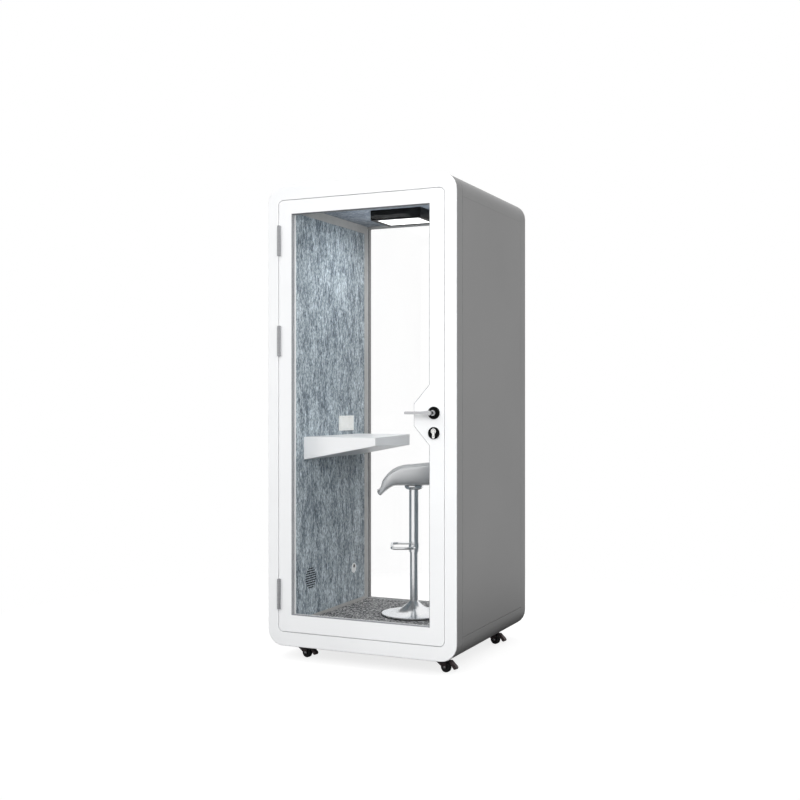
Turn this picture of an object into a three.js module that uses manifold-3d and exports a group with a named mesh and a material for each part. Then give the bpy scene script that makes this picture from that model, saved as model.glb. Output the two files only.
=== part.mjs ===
// Acoustic office pod: a one-person booth on casters, with a glazed door, a glazed back, a wall desk and
// a bar stool. Millimetres, +Z up. The origin is on the floor under the middle; the door faces -Y.
import * as THREE from 'three';
import { mergeVertices } from 'three/addons/utils/BufferGeometryUtils.js';
import Module from 'manifold-3d';

const wasm = await Module();
wasm.setup();

// Casing: overall sizes
const WIDTH = 1000;
const DEPTH = 1000;
const SHELL_HEIGHT = 2258;
const CASTER_HEIGHT = 72;
const CORNER_RADIUS = 80;
const LEVER_REACH = 58;

// Casing: build-up of the walls
const SKIN = 12;
const SIDE_WALL = 100;
const ROOF_DEPTH = 75;
const FELT = 12;
const SEAM = 1.5;
const FIT = 0.3;
const FASCIA = 10;
const FASCIA_FILLET = 4;
const FRONT_HOOP = 70;
const REAR_HOOP = 75;
const REAR_RING = 76;
const REAR_SILL = 84;
const REAR_LINER = 20;
const REAR_OPENING_RADIUS = 5;
const EDGE_LEG = 104;

// Floor
const FLOOR_RISE = 93;
const BOARD = 18;
const CARPET = 8;
const JOIST_WIDTH = 40;
const JOIST_SPACING = 300;
const AIR_SLOT_WIDTH = 10;
const AIR_SLOT_LENGTH = 90;
const AIR_SLOT_PITCH = 20;
const AIR_SLOT_COUNT = 4;
const AIR_SLOT_INSET = 20;

// Inner wall trim: a flat frame round each felt panel
const TRIM_TOP = 43;
const TRIM_FOOT = 24;
const TRIM_REAR = 38;
const TRIM_FRONT = 20;

// Glazing
const DOOR_GLASS = 8;
const REAR_GLASS = 10;
const GLASS_BITE = 8;
const REAR_GLASS_SETBACK = 35;

// Door leaf
const LEAF = 45;
const LEAF_SIDE_MARGIN = 60;
const LEAF_END_MARGIN = 71;
const LEAF_RADIUS = 24;
const LEAF_EDGE_FILLET = 2;
const DOOR_GAP = 3;
const FLANGE = 14;
const FLANGE_LAP = 14;
const REBATE_CLEARANCE = 1;
const STOP_LIP = 14;
const SEAL_GAP = 6;
const SEAL_INSET = 4;
const STILE = 72;
const TOP_RAIL = 67;
const BOTTOM_RAIL = 83;
const GLASS_SETBACK = 18;

// Lock panel: the stile widens round the lock
const LOCK_PANEL_REACH = 78;
const LOCK_PANEL_INNER = 102;
const LOCK_PANEL_OUTER = 280;
const LOCK_PANEL_DROP = 10;

// Lock
const LEVER_RISE = 1148;
const LOCK_CENTRES = 85;
const BACKSET = 36;
const LOCK_CASE_BACK = 28;
const LOCK_CASE_TOP = 45;
const LOCK_CASE_FOOT = 32;
const LOCK_CASE_THICKNESS = 19;
const FOREND = 3;
const FOREND_WIDTH = 22;
const FOREND_OVERLAP = 15;
const LATCH_THICKNESS = 12.4;
const LATCH_HEIGHT = 24;
const LATCH_LENGTH = 30;
const LATCH_THROW = 11;
const LATCH_NOSE = 3;
const BOLT_HEIGHT = 24;
const BOLT_LENGTH = 28;
const BOLT_THROW = 20;
const BOLT_DROP = 55;
const BOLT_CLEARANCE = 1.5;
const STRIKE = 2.5;
const STRIKE_OVERLAP = 20;

// Lock furniture
const ROSE_RADIUS = 29;
const ROSE = 9;
const ESCUTCHEON_RADIUS = 28;
const ESCUTCHEON = 8;
const ESCUTCHEON_DROP = 8;
const DISC_CHAMFER = 2;
const BACKPLATE_WIDTH = 44;
const BACKPLATE_OVERLAP = 45;
const BACKPLATE = 8;
const LEVER_LENGTH = 127;
const LEVER_BAR_HEIGHT = 13;
const LEVER_BAR_DEPTH = 11;
const LEVER_HEAD_RADIUS = 11;
const LEVER_HEAD_INSET = 3.5;
const LEVER_TAPER = 45;
const LEVER_NECK_RADIUS = 8.5;
const LEVER_COLLAR_RADIUS = 13;
const LEVER_COLLAR = 12.5;
const COLLAR_SINK = 4;
const NECK_CLEARANCE = 0.5;
const TIP_FLAT = 0.3;
const SPINDLE = 8;
const SPINDLE_BITE = 9;
const CYLINDER_RADIUS = 8.5;
const CYLINDER_WEB = 10;
const CYLINDER_DROP = 24;
const CYLINDER_PROUD = 2;
const PLUG_RADIUS = 6.2;
const KEYWAY_WIDTH = 2;
const KEYWAY_HEIGHT = 8;
const KEYWAY_DEPTH = 8;
const TURN_WIDTH = 9;
const TURN_LENGTH = 34;
const TURN_REACH = 20;

// Barrel hinges
const HINGE_LOWER_RISE = 184;
const HINGE_MIDDLE_DROP = 689;
const HINGE_UPPER_DROP = 197;
const HINGE_HEIGHT = 148;
const HINGE_RADIUS = 9;
const HINGE_PIN_RADIUS = 4;
const HINGE_PIN_LENGTH = 58;
const HINGE_FLAG = 1.1;
const HINGE_FLAG_REACH = 12;
const HINGE_SPLIT = 1;
const HINGE_INSET = 8;

// Ceiling lamp
const LAMP_WIDTH = 282;
const LAMP_DEPTH = 220;
const LAMP_HEIGHT = 52;
const LAMP_SETBACK = 415;
const LAMP_RIM = 24;
const LAMP_RECESS = 12;
const DIFFUSER = 10;

// Wall desk
const DESK_RISE = 1022;
const DESK_SETBACK = 178;
const DESK_RUN = 622;
const DESK_FRONT_REACH = 402;
const DESK_BACK_REACH = 308;
const DESK_ROOT = 116;
const DESK_TIP = 40;

// Wall switches
const SWITCH_SIZE = 80;
const SWITCH_COUNT = 2;
const SWITCH_PLATE = 9;
const SWITCH_SETBACK = 558;
const SWITCH_LIFT = 21;
const ROCKER_SIZE = 62;
const ROCKER = 6;
const ROCKER_PROUD = 1;
const ROCKER_CLEARANCE = 0.6;

// Fresh-air vent and fan in the left wall
const VENT_SETBACK = 252;
const VENT_RISE = 298;
const VENT_RADIUS = 55;
const VENT_SLOT = 6;
const VENT_PITCH = 12;
const VENT_SLOTS = 9;
const FAN_SIZE = 120;
const FAN_DEPTH = 38;
const FAN_BORE_RADIUS = 56;
const FAN_TIP_RADIUS = 53;
const FAN_HUB_RADIUS = 19;
const FAN_HUB = 22;
const FAN_PIN_RADIUS = 3;
const FAN_PIN_LENGTH = 16;
const FAN_ARMS = 3;
const FAN_SPIDER = 4;
const FAN_STRUT = 8;
const FAN_BLADES = 7;
const FAN_BLADE = 2.4;
const FAN_BLADE_CHORD = 24;
const FAN_PITCH = 35;

// Cable grommet in the left wall
const GROMMET_SETBACK = 733;
const GROMMET_RISE = 285;
const GROMMET_FLANGE_RADIUS = 27;
const GROMMET_FLANGE = 3;
const GROMMET_BODY_RADIUS = 22;
const GROMMET_HOLE_RADIUS = 8.5;
const GROMMET_HOLE_LIFT = 11;
const CABLE_POCKET = 40;

// Casters
const CASTER_INSET_X = 127;
const CASTER_INSET_FRONT = 118;
const CASTER_INSET_REAR = 202;
const CASTER_YAW = 80;
const CASTER_TRAIL = 32;
const CASTER_PAD = 70;
const CASTER_PAD_THICKNESS = 10;
const WHEEL_RADIUS = 25;
const WHEEL_WIDTH = 24;
const WHEEL_ROUNDING = 4;
const WHEEL_HUB_RADIUS = 13;
const WHEEL_HUB_RECESS = 3;
const AXLE_RADIUS = 4;
const AXLE_CLEARANCE = 0.4;
const FORK_CHEEK = 3.5;
const FORK_SIDE_GAP = 1;
const FORK_CROWN = 6;
const FORK_CROWN_GAP = 3;
const FORK_HEAD_RADIUS = 19;
const FORK_TAIL = 13;
const FORK_EYE_RADIUS = 8;
const FORK_EYE_END = 315;
const PEDAL_KNEE = 30;
const PEDAL_REACH = 52;
const PEDAL_DROP = 25;
const PEDAL_TOE_RADIUS = 9;
const PEDAL_WIDTH = 22;
const KINGPIN_RADIUS = 6;
const KINGPIN_LENGTH = 6;
const SWIVEL_GAP = 0.5;

// Bar stool
const STOOL_X = 43;
const STOOL_SETBACK = 553;
const STOOL_YAW = 24.66;
const STOOL_BASE_RADIUS = 168;
const STOOL_BASE_EDGE = 12;
const STOOL_FLARE_HEIGHT = 75;
const STOOL_FLARE_SPREAD = 1.05;
const STOOL_FLARE_CLIMB = 2.4;
const STOOL_COLUMN_RADIUS = 20.5;
const GAS_ROD_RADIUS = 12;
const GAS_ROD_BORE_FLOOR = 11;
const GAS_ROD_END_GAP = 6;
const STOOL_TRAVEL = 200;
const SLEEVE_RADIUS = 25;
const SLEEVE_BOTTOM = 328;
const SLEEVE_TOP = 650;
const BELL_HEIGHT = 22;
const BELL_RADIUS = 49;
const BELL_NECK_RADIUS = 28;
const BELL_LIP = 4;
const SLIDE_CLEARANCE = 0.5;
const FOOTREST_RISE = 358;
const FOOTREST_REACH = 121;
const FOOTREST_WIDTH = 230;
const FOOTREST_BAR_RADIUS = 7;
const FOOTREST_CORNER = 26;
const COLLAR_RADIUS = 27;
const COLLAR_HEIGHT = 26;
const SEAT_FRONT = 191;
const SEAT_BACK = 178;
const SEAT_HALF_WIDTH = 160;
const SEAT_SHELL = 11;
const SEAT_LIP = 15;
const SEAT_DROOP = 51;
const SEAT_DROOP_RUN = 71;
const SEAT_DROOP_CURVE = 1.7;
const SEAT_BACK_RISE = 108;
const SEAT_BACK_RUN = 119;
const SEAT_BACK_CURVE = 2.4;
const SEAT_RIM_LIFT = 100;
const SEAT_RIM_BACK_LIFT = 22;
const SEAT_RIM_BACK_CURVE = 1.5;
const SEAT_NOSE_RUN = 186;
const SEAT_NOSE_FALL = 122;
const SEAT_NOSE_CURVE = 3.6;
const SEAT_NOSE_BOW = 25;
const SEAT_SIDE_CURVE = 2.6;
const SEAT_LEAST_RISE = 18;
const SEAT_PLAN_PINCH = 0.62;
const SEAT_PLAN_CURVE = 3.2;
const SEAT_EDGE_THINNING = 0.35;
const SEAT_END_FLAT = 0.3;
const LIFT_ROD_RADIUS = 4;
const LIFT_ROD_LENGTH = 120;
const LIFT_ROD_DROP = 12;
const LIFT_ROD_ROOT = 24;
const LIFT_ROD_CLEARANCE = 1;
const LIFT_PADDLE_LENGTH = 34;
const LIFT_PADDLE_WIDTH = 14;
const LIFT_PADDLE_CORNER = 6;

// Facets of round pieces
const CORNER_STEPS = 3;
const FILLET_STEPS = 3;
const ROUND_SIDES = 28;
const SMALL_ROUND_SIDES = 16;
const WHEEL_SIDES = 20;
const FLARE_STEPS = 8;
const BELL_STEPS = 4;
const FOOTREST_STEPS = 36;
const BAR_ARC_STEPS = 4;
const SEAT_STATIONS = 18;
const SEAT_STEPS_ACROSS = 12;

// Places worked out from the sizes above
const FRONT_Y = -(DEPTH - LEVER_REACH) / 2;
const BACK_Y = FRONT_Y + DEPTH;
const BOTTOM_Z = CASTER_HEIGHT;
const TOP_Z = BOTTOM_Z + SHELL_HEIGHT;
const HALF_WIDTH = WIDTH / 2;
const HOOP_BACK_Y = FRONT_Y + FASCIA + FRONT_HOOP;
const REAR_HOOP_Y = BACK_Y - REAR_HOOP;
const LINER_Y = REAR_HOOP_Y - REAR_LINER;
const FELT_X = HALF_WIDTH - SIDE_WALL;
const CORE_X = FELT_X + FELT;
const SKIN_X = HALF_WIDTH - SKIN;
const CARPET_Z = BOTTOM_Z + FLOOR_RISE;
const BOARD_TOP_Z = CARPET_Z - CARPET;
const BOARD_Z = BOARD_TOP_Z - BOARD;
const CEILING_Z = TOP_Z - ROOF_DEPTH;

const LEAF_X = HALF_WIDTH - LEAF_SIDE_MARGIN;
const LEAF_Z0 = BOTTOM_Z + LEAF_END_MARGIN;
const LEAF_Z1 = TOP_Z - LEAF_END_MARGIN;
const LEAF_BACK_Y = FRONT_Y + LEAF;
const BODY_X = LEAF_X - FLANGE_LAP;
const REBATE_Y = FRONT_Y + FLANGE + REBATE_CLEARANCE;
const STOP_Y = LEAF_BACK_Y + SEAL_GAP;
const JAMB_X = BODY_X + DOOR_GAP;

const LOCK_X = BODY_X - BACKSET;
const LOCK_Y = FRONT_Y + (FLANGE + LEAF) / 2;
const LEVER_Z = BOTTOM_Z + LEVER_RISE;
const CYLINDER_Z = LEVER_Z - LOCK_CENTRES;
const BOLT_Z = LEVER_Z - BOLT_DROP;
const HINGE_X = -LEAF_X - DOOR_GAP / 2 + HINGE_INSET;
const HINGE_Y = FRONT_Y - HINGE_RADIUS - FIT;
const HINGE_CENTRES = {
  lower: LEAF_Z0 + HINGE_LOWER_RISE,
  middle: LEAF_Z1 - HINGE_MIDDLE_DROP,
  upper: LEAF_Z1 - HINGE_UPPER_DROP,
};
const DESK_Z = BOTTOM_Z + DESK_RISE;
const SWITCH_Z = DESK_Z + SWITCH_LIFT;
const FAN_Y = FRONT_Y + VENT_SETBACK;
const FAN_Z = BOTTOM_Z + VENT_RISE;
const FAN_BACK_X = -CORE_X - FAN_DEPTH;
const GROMMET_Y = FRONT_Y + GROMMET_SETBACK;
const GROMMET_Z = BOTTOM_Z + GROMMET_RISE;
const SLEEVE_NECK = SLEEVE_TOP - SLEEVE_RADIUS;
const SLEEVE_BORE_TOP = SLEEVE_NECK - SLEEVE_RADIUS / 4;
const STOOL_COLUMN_TOP = SLEEVE_BORE_TOP - STOOL_TRAVEL - GAS_ROD_END_GAP;
const SEAT_Z = SLEEVE_TOP + BELL_HEIGHT + FIT;

// A closed geometry becomes a solid that can be joined and cut
function solid(geometry) {
  const bare = geometry.clone();
  for (const name of Object.keys(bare.attributes)) {
    if (name !== 'position') bare.deleteAttribute(name);
  }
  const merged = mergeVertices(bare);
  const corners = merged.index.array;
  const triVerts = [];
  for (let i = 0; i < corners.length; i += 3) {
    const [a, b, c] = [corners[i], corners[i + 1], corners[i + 2]];
    if (a !== b && b !== c && c !== a) triVerts.push(a, b, c);
  }
  const mesh = new wasm.Mesh({
    numProp: 3,
    vertProperties: new Float32Array(merged.attributes.position.array),
    triVerts: new Uint32Array(triVerts),
  });
  return new wasm.Manifold(mesh);
}

function geometryOf(body) {
  const mesh = body.getMesh();
  const geometry = new THREE.BufferGeometry();
  geometry.setAttribute('position', new THREE.BufferAttribute(new Float32Array(mesh.vertProperties), 3));
  geometry.setIndex(Array.from(mesh.triVerts));
  geometry.computeVertexNormals();
  return geometry;
}

function join(first, ...others) {
  return others.reduce((sum, other) => sum.add(other), first);
}

function cut(first, ...others) {
  return others.reduce((rest, other) => rest.subtract(other), first);
}

function block(x0, x1, y0, y1, z0, z1) {
  const geometry = new THREE.BoxGeometry(x1 - x0, y1 - y0, z1 - z0);
  geometry.translate((x0 + x1) / 2, (y0 + y1) / 2, (z0 + z1) / 2);
  return solid(geometry);
}

// An outline in the X-Z plane, pushed along Y
function slabY(outline, y0, y1) {
  const geometry = new THREE.ExtrudeGeometry(outline, {
    depth: y1 - y0,
    bevelEnabled: false,
    curveSegments: CORNER_STEPS,
  });
  geometry.rotateX(Math.PI / 2);
  geometry.translate(0, y1, 0);
  return solid(geometry);
}

// An outline in the Y-Z plane, pushed along X
function slabX(outline, x0, x1) {
  const geometry = new THREE.ExtrudeGeometry(outline, {
    depth: x1 - x0,
    bevelEnabled: false,
    curveSegments: CORNER_STEPS,
  });
  geometry.rotateX(Math.PI / 2);
  geometry.rotateZ(Math.PI / 2);
  geometry.translate(x0, 0, 0);
  return solid(geometry);
}

// An outline in the X-Y plane, pushed along Z
function slabZ(outline, z0, z1) {
  const geometry = new THREE.ExtrudeGeometry(outline, {
    depth: z1 - z0,
    bevelEnabled: false,
    curveSegments: CORNER_STEPS,
  });
  geometry.translate(0, 0, z0);
  return solid(geometry);
}

function polygon(points) {
  return new THREE.Shape(points.map(([u, v]) => new THREE.Vector2(u, v)));
}

function roundedRectangle(u0, u1, v0, v1, radius) {
  const outline = new THREE.Shape();
  outline.moveTo(u0 + radius, v0);
  outline.lineTo(u1 - radius, v0);
  outline.absarc(u1 - radius, v0 + radius, radius, -Math.PI / 2, 0);
  outline.lineTo(u1, v1 - radius);
  outline.absarc(u1 - radius, v1 - radius, radius, 0, Math.PI / 2);
  outline.lineTo(u0 + radius, v1);
  outline.absarc(u0 + radius, v1 - radius, radius, Math.PI / 2, Math.PI);
  outline.lineTo(u0, v0 + radius);
  outline.absarc(u0 + radius, v0 + radius, radius, Math.PI, Math.PI * 1.5);
  return outline;
}

function rodZ(radius, z0, z1, sides = SMALL_ROUND_SIDES) {
  const geometry = new THREE.CylinderGeometry(radius, radius, z1 - z0, sides);
  geometry.rotateX(Math.PI / 2);
  geometry.translate(0, 0, (z0 + z1) / 2);
  return solid(geometry);
}

function rodY(radius, y0, y1, sides = SMALL_ROUND_SIDES) {
  const geometry = new THREE.CylinderGeometry(radius, radius, y1 - y0, sides);
  geometry.translate(0, (y0 + y1) / 2, 0);
  return solid(geometry);
}

function rodX(radius, x0, x1, sides = SMALL_ROUND_SIDES) {
  const geometry = new THREE.CylinderGeometry(radius, radius, x1 - x0, sides);
  geometry.rotateZ(Math.PI / 2);
  geometry.translate((x0 + x1) / 2, 0, 0);
  return solid(geometry);
}

// A profile of [radius, height] points, turned about the Z axis
function turned(profile, sides = ROUND_SIDES) {
  const points = profile.map(([radius, height]) => new THREE.Vector2(radius, height));
  const geometry = new THREE.LatheGeometry(points, sides);
  geometry.rotateX(Math.PI / 2);
  return solid(geometry);
}

// Rings with equal counts of points, skinned one to the next and closed with a fan at each end
function loft(rings) {
  const count = rings[0].length;
  const positions = rings.flat().flatMap((point) => [point.x, point.y, point.z]);
  const index = [];
  for (let ring = 0; ring + 1 < rings.length; ring += 1) {
    for (let i = 0; i < count; i += 1) {
      const a = ring * count + i;
      const b = ring * count + ((i + 1) % count);
      index.push(a, b, b + count, a, b + count, a + count);
    }
  }
  const last = (rings.length - 1) * count;
  for (let i = 1; i + 1 < count; i += 1) {
    index.push(0, i + 1, i);
    index.push(last, last + i, last + i + 1);
  }
  const geometry = new THREE.BufferGeometry();
  geometry.setAttribute('position', new THREE.Float32BufferAttribute(positions, 3));
  geometry.setIndex(index);
  return solid(geometry);
}

// A slab along Y with rounded corners, whose rim is filleted on the face at faceY
function filletedSlab(halfWidth, z0, z1, radius, faceY, backY, fillet) {
  const inward = Math.sign(backY - faceY);
  const ring = (inset, y) => {
    const outline = roundedRectangle(
      -halfWidth + inset, halfWidth - inset, z0 + inset, z1 - inset, radius - inset,
    );
    return outline.getPoints(CORNER_STEPS).slice(0, -1).map((p) => new THREE.Vector3(p.x, y, p.y));
  };
  const rings = [];
  for (let step = 0; step <= FILLET_STEPS; step += 1) {
    const angle = (step / FILLET_STEPS) * (Math.PI / 2);
    rings.push(ring(fillet * (1 - Math.sin(angle)), faceY + inward * fillet * (1 - Math.cos(angle))));
  }
  rings.push(ring(0, backY));
  return loft(inward > 0 ? rings.reverse() : rings);
}

function material(color, roughness, metalness = 0, extra = {}) {
  return () => new THREE.MeshStandardMaterial({ color, roughness, metalness, ...extra });
}

const whiteCoat = material(0xf2f3f4, 0.35);
const greyCoat = material(0x828282, 0.5);
const felt = material(0x87929a, 0.95);
const greyTrim = material(0x949492, 0.6);
const insulation = material(0x55585c, 1);
const plywood = material(0xb9986a, 0.8);
const carpetPile = material(0x707072, 1);
const clearGlass = material(0xe8f2f2, 0.05, 0, { transparent: true, opacity: 0.2 });
const blackCoat = material(0x101012, 0.45);
const blackRubber = material(0x141416, 0.8);
const opal = material(0xffffff, 0.4, 0, { emissive: 0xffffff });
const whitePlastic = material(0xf4f4f0, 0.35);
const greyPlastic = material(0xb8bcbd, 0.45);
const steel = material(0x9c9da0, 0.35, 0.9);
const satinNickel = material(0xc9cacb, 0.28, 0.9);
const brownGreySteel = material(0x3a3234, 0.45, 0.5);
const chrome = material(0xd4d6d8, 0.12, 1);
const seatPlastic = material(0xc4c5c6, 0.25);

const pod = new THREE.Group();

function place(group, name, body, makeMaterial) {
  const mesh = new THREE.Mesh(geometryOf(body), makeMaterial());
  mesh.name = name;
  group.add(mesh);
  return mesh;
}

// Front frame: the white fascia with the door jamb behind it, rebated for the leaf
function frontFrame() {
  const jambInset = SKIN + FIT;
  const fascia = filletedSlab(
    HALF_WIDTH, BOTTOM_Z, TOP_Z, CORNER_RADIUS, FRONT_Y, FRONT_Y + FASCIA, FASCIA_FILLET,
  );
  const jamb = slabY(
    roundedRectangle(
      -HALF_WIDTH + jambInset, HALF_WIDTH - jambInset,
      BOTTOM_Z + jambInset, TOP_Z - jambInset, CORNER_RADIUS - jambInset,
    ),
    FRONT_Y + FASCIA / 2, HOOP_BACK_Y,
  );
  return cut(
    join(fascia, jamb),
    slabY(leafOutline(-DOOR_GAP), FRONT_Y - FASCIA, REBATE_Y),
    slabY(leafOutline(FLANGE_LAP - DOOR_GAP), FRONT_Y, STOP_Y),
    slabY(leafOutline(FLANGE_LAP - DOOR_GAP + STOP_LIP), FRONT_Y, HOOP_BACK_Y + FASCIA),
    strikeRecess(),
    latchSlot(),
    boltPocket(),
  );
}

// The leaf's rounded outline, drawn in by inset
function leafOutline(inset) {
  const radius = Math.max(LEAF_RADIUS - inset, LEAF_EDGE_FILLET);
  return roundedRectangle(-LEAF_X + inset, LEAF_X - inset, LEAF_Z0 + inset, LEAF_Z1 - inset, radius);
}

function strikeSpan() {
  return {
    z0: BOLT_Z - BOLT_HEIGHT / 2 - STRIKE_OVERLAP,
    z1: LEVER_Z + LATCH_HEIGHT / 2 + STRIKE_OVERLAP,
    y1: STOP_Y - SEAL_GAP,
  };
}

function strikeRecess() {
  const { z0, z1, y1 } = strikeSpan();
  return block(JAMB_X - STRIKE, JAMB_X + STRIKE + FIT, FRONT_Y, y1 + FIT, z0 - FIT, z1 + FIT);
}

// The latch tip leaves forwards through this slot, behind the leaf's flange
function latchSlot() {
  const half = LATCH_HEIGHT / 2 + BOLT_CLEARANCE;
  const tip = BODY_X + LATCH_THROW + 2 * BOLT_CLEARANCE;
  const back = LOCK_Y + LATCH_THICKNESS / 2 + BOLT_CLEARANCE;
  return block(JAMB_X - STRIKE, tip, REBATE_Y - DOOR_GAP, back, LEVER_Z - half, LEVER_Z + half);
}

function boltPocket() {
  const half = BOLT_HEIGHT / 2 + BOLT_CLEARANCE;
  const side = LATCH_THICKNESS / 2 + BOLT_CLEARANCE;
  const tip = BODY_X + BOLT_THROW + 2 * BOLT_CLEARANCE;
  return block(JAMB_X - STRIKE, tip, LOCK_Y - side, LOCK_Y + side, BOLT_Z - half, BOLT_Z + half);
}

function strikePlate() {
  const { z0, z1, y1 } = strikeSpan();
  const plate = block(JAMB_X, JAMB_X + STRIKE, REBATE_Y, y1, z0, z1);
  return cut(plate, latchSlot(), boltPocket());
}

// A ring of the casing's outline, one skin thick
function hoop(y0, y1) {
  return cut(
    slabY(roundedRectangle(-HALF_WIDTH, HALF_WIDTH, BOTTOM_Z, TOP_Z, CORNER_RADIUS), y0, y1),
    slabY(
      roundedRectangle(
        -SKIN_X, SKIN_X, BOTTOM_Z + SKIN, TOP_Z - SKIN, CORNER_RADIUS - SKIN,
      ),
      y0 - SKIN, y1 + SKIN,
    ),
  );
}

function rearOpening(grow) {
  const half = HALF_WIDTH - REAR_RING + grow;
  return roundedRectangle(
    -half, half, BOTTOM_Z + REAR_SILL - grow, TOP_Z - REAR_RING + grow, REAR_OPENING_RADIUS + grow,
  );
}

// Rear frame: the back hoop with a liner that closes the wall ends and grips the back glass
function rearFrame() {
  const linerInset = SKIN + FIT;
  const ring = filletedSlab(
    HALF_WIDTH, BOTTOM_Z, TOP_Z, CORNER_RADIUS, BACK_Y, REAR_HOOP_Y, FASCIA_FILLET,
  );
  const liner = slabY(
    roundedRectangle(
      -HALF_WIDTH + linerInset, HALF_WIDTH - linerInset,
      BOTTOM_Z + linerInset, TOP_Z - linerInset, CORNER_RADIUS - linerInset,
    ),
    LINER_Y, REAR_HOOP_Y + REAR_LINER,
  );
  const glassBackY = BACK_Y - REAR_GLASS_SETBACK;
  return cut(
    join(ring, liner),
    slabY(rearOpening(0), LINER_Y - REAR_LINER, BACK_Y + REAR_LINER),
    slabY(rearOpening(GLASS_BITE), glassBackY - REAR_GLASS - FIT, glassBackY + FIT),
  );
}

function rearGlass() {
  const backY = BACK_Y - REAR_GLASS_SETBACK;
  return slabY(rearOpening(GLASS_BITE - FIT), backY - REAR_GLASS, backY);
}

// A channel along Y with rounded outer edges: the roof skin, or upside down the floor pan
function edgeChannel(faceZ, inward) {
  const legZ = faceZ + inward * EDGE_LEG;
  const bendZ = faceZ + inward * CORNER_RADIUS;
  const innerRadius = CORNER_RADIUS - SKIN;
  const bendX = HALF_WIDTH - CORNER_RADIUS;
  const side = inward > 0 ? -1 : 1;
  const clockwise = inward < 0;
  const outline = new THREE.Shape();
  outline.moveTo(-HALF_WIDTH, legZ);
  outline.lineTo(-HALF_WIDTH, bendZ);
  outline.absarc(-bendX, bendZ, CORNER_RADIUS, Math.PI, side * Math.PI / 2, clockwise);
  outline.lineTo(bendX, faceZ);
  outline.absarc(bendX, bendZ, CORNER_RADIUS, side * Math.PI / 2, 0, clockwise);
  outline.lineTo(HALF_WIDTH, legZ);
  outline.lineTo(SKIN_X, legZ);
  outline.lineTo(SKIN_X, bendZ);
  outline.absarc(bendX, bendZ, innerRadius, 0, side * Math.PI / 2, !clockwise);
  outline.lineTo(-bendX, faceZ + inward * SKIN);
  outline.absarc(-bendX, bendZ, innerRadius, side * Math.PI / 2, Math.PI, !clockwise);
  outline.lineTo(-SKIN_X, legZ);
  return slabY(outline, HOOP_BACK_Y + SEAM, REAR_HOOP_Y - SEAM);
}

function casterPlaces() {
  const x = HALF_WIDTH - CASTER_INSET_X;
  const rows = { front: FRONT_Y + CASTER_INSET_FRONT, rear: BACK_Y - CASTER_INSET_REAR };
  const places = {};
  for (const [row, y] of Object.entries(rows)) {
    places[`${row}_left`] = new THREE.Vector3(-x, y, 0);
    places[`${row}_right`] = new THREE.Vector3(x, y, 0);
  }
  return places;
}

// Floor pan: the lower channel with joists for the floor board, caster pads and air-inlet slots
function baseShell() {
  let pan = edgeChannel(BOTTOM_Z, 1);
  for (const column of [-1, 0, 1]) {
    const x = column * JOIST_SPACING;
    const joist = block(
      x - JOIST_WIDTH / 2, x + JOIST_WIDTH / 2, HOOP_BACK_Y + SEAM, LINER_Y - SEAM,
      BOTTOM_Z + SKIN / 2, BOARD_Z,
    );
    pan = pan.add(joist);
  }
  for (const { x, y } of Object.values(casterPlaces())) {
    const half = CASTER_PAD / 2;
    const pad = block(
      x - half, x + half, y - half, y + half, BOTTOM_Z - CASTER_PAD_THICKNESS, BOTTOM_Z + SKIN / 2,
    );
    const socket = rodZ(
      KINGPIN_RADIUS + AXLE_CLEARANCE, BOTTOM_Z - 2 * CASTER_PAD_THICKNESS, BOTTOM_Z - SWIVEL_GAP,
    );
    pan = pan.add(pad).subtract(socket.translate([x, y, 0]));
  }
  const slotX = -FELT_X + AIR_SLOT_INSET;
  for (let i = 0; i < AIR_SLOT_COUNT; i += 1) {
    const x = slotX + i * AIR_SLOT_PITCH;
    pan = pan.subtract(block(
      x, x + AIR_SLOT_WIDTH, FAN_Y, FAN_Y + AIR_SLOT_LENGTH, BOTTOM_Z - SKIN, BOTTOM_Z + SKIN + FIT,
    ));
  }
  return pan;
}

function sidePanel(side) {
  const xs = [side * SKIN_X, side * HALF_WIDTH].sort((a, b) => a - b);
  return block(
    xs[0], xs[1], HOOP_BACK_Y + SEAM, REAR_HOOP_Y - SEAM,
    BOTTOM_Z + EDGE_LEG + SEAM, TOP_Z - EDGE_LEG - SEAM,
  );
}

// Mineral-wool core between the skin and the felt; the left one makes room for the fan, duct and cables
function acousticCore(side) {
  const xs = [side * CORE_X, side * SKIN_X].sort((a, b) => a - b);
  const core = block(
    xs[0], xs[1], HOOP_BACK_Y, LINER_Y, BOTTOM_Z + CORNER_RADIUS, TOP_Z - CORNER_RADIUS,
  );
  if (side > 0) return core;
  const half = FAN_SIZE / 2 + FIT;
  const duct = block(-SKIN_X - SKIN, -CORE_X + SKIN, FAN_Y - half, FAN_Y + half, BOTTOM_Z, FAN_Z + half);
  const pocket = rodX(GROMMET_BODY_RADIUS + SLIDE_CLEARANCE, -CORE_X - CABLE_POCKET, -CORE_X + SKIN);
  return cut(core, duct, pocket.translate([0, GROMMET_Y, GROMMET_Z]));
}

function wallSpan() {
  return {
    y0: HOOP_BACK_Y + TRIM_FRONT,
    y1: LINER_Y - TRIM_REAR,
    z0: BOARD_TOP_Z + TRIM_FOOT,
    z1: CEILING_Z - TRIM_TOP,
  };
}

function wallTrim(side) {
  const xs = [side * FELT_X, side * CORE_X].sort((a, b) => a - b);
  const { y0, y1, z0, z1 } = wallSpan();
  return cut(
    block(xs[0], xs[1], HOOP_BACK_Y, LINER_Y, BOARD_TOP_Z, CEILING_Z),
    block(xs[0] - FELT, xs[1] + FELT, y0, y1, z0, z1),
  );
}

function feltPanel(side) {
  const xs = [side * FELT_X, side * CORE_X].sort((a, b) => a - b);
  const { y0, y1, z0, z1 } = wallSpan();
  return block(xs[0], xs[1], y0, y1, z0, z1);
}

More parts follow.
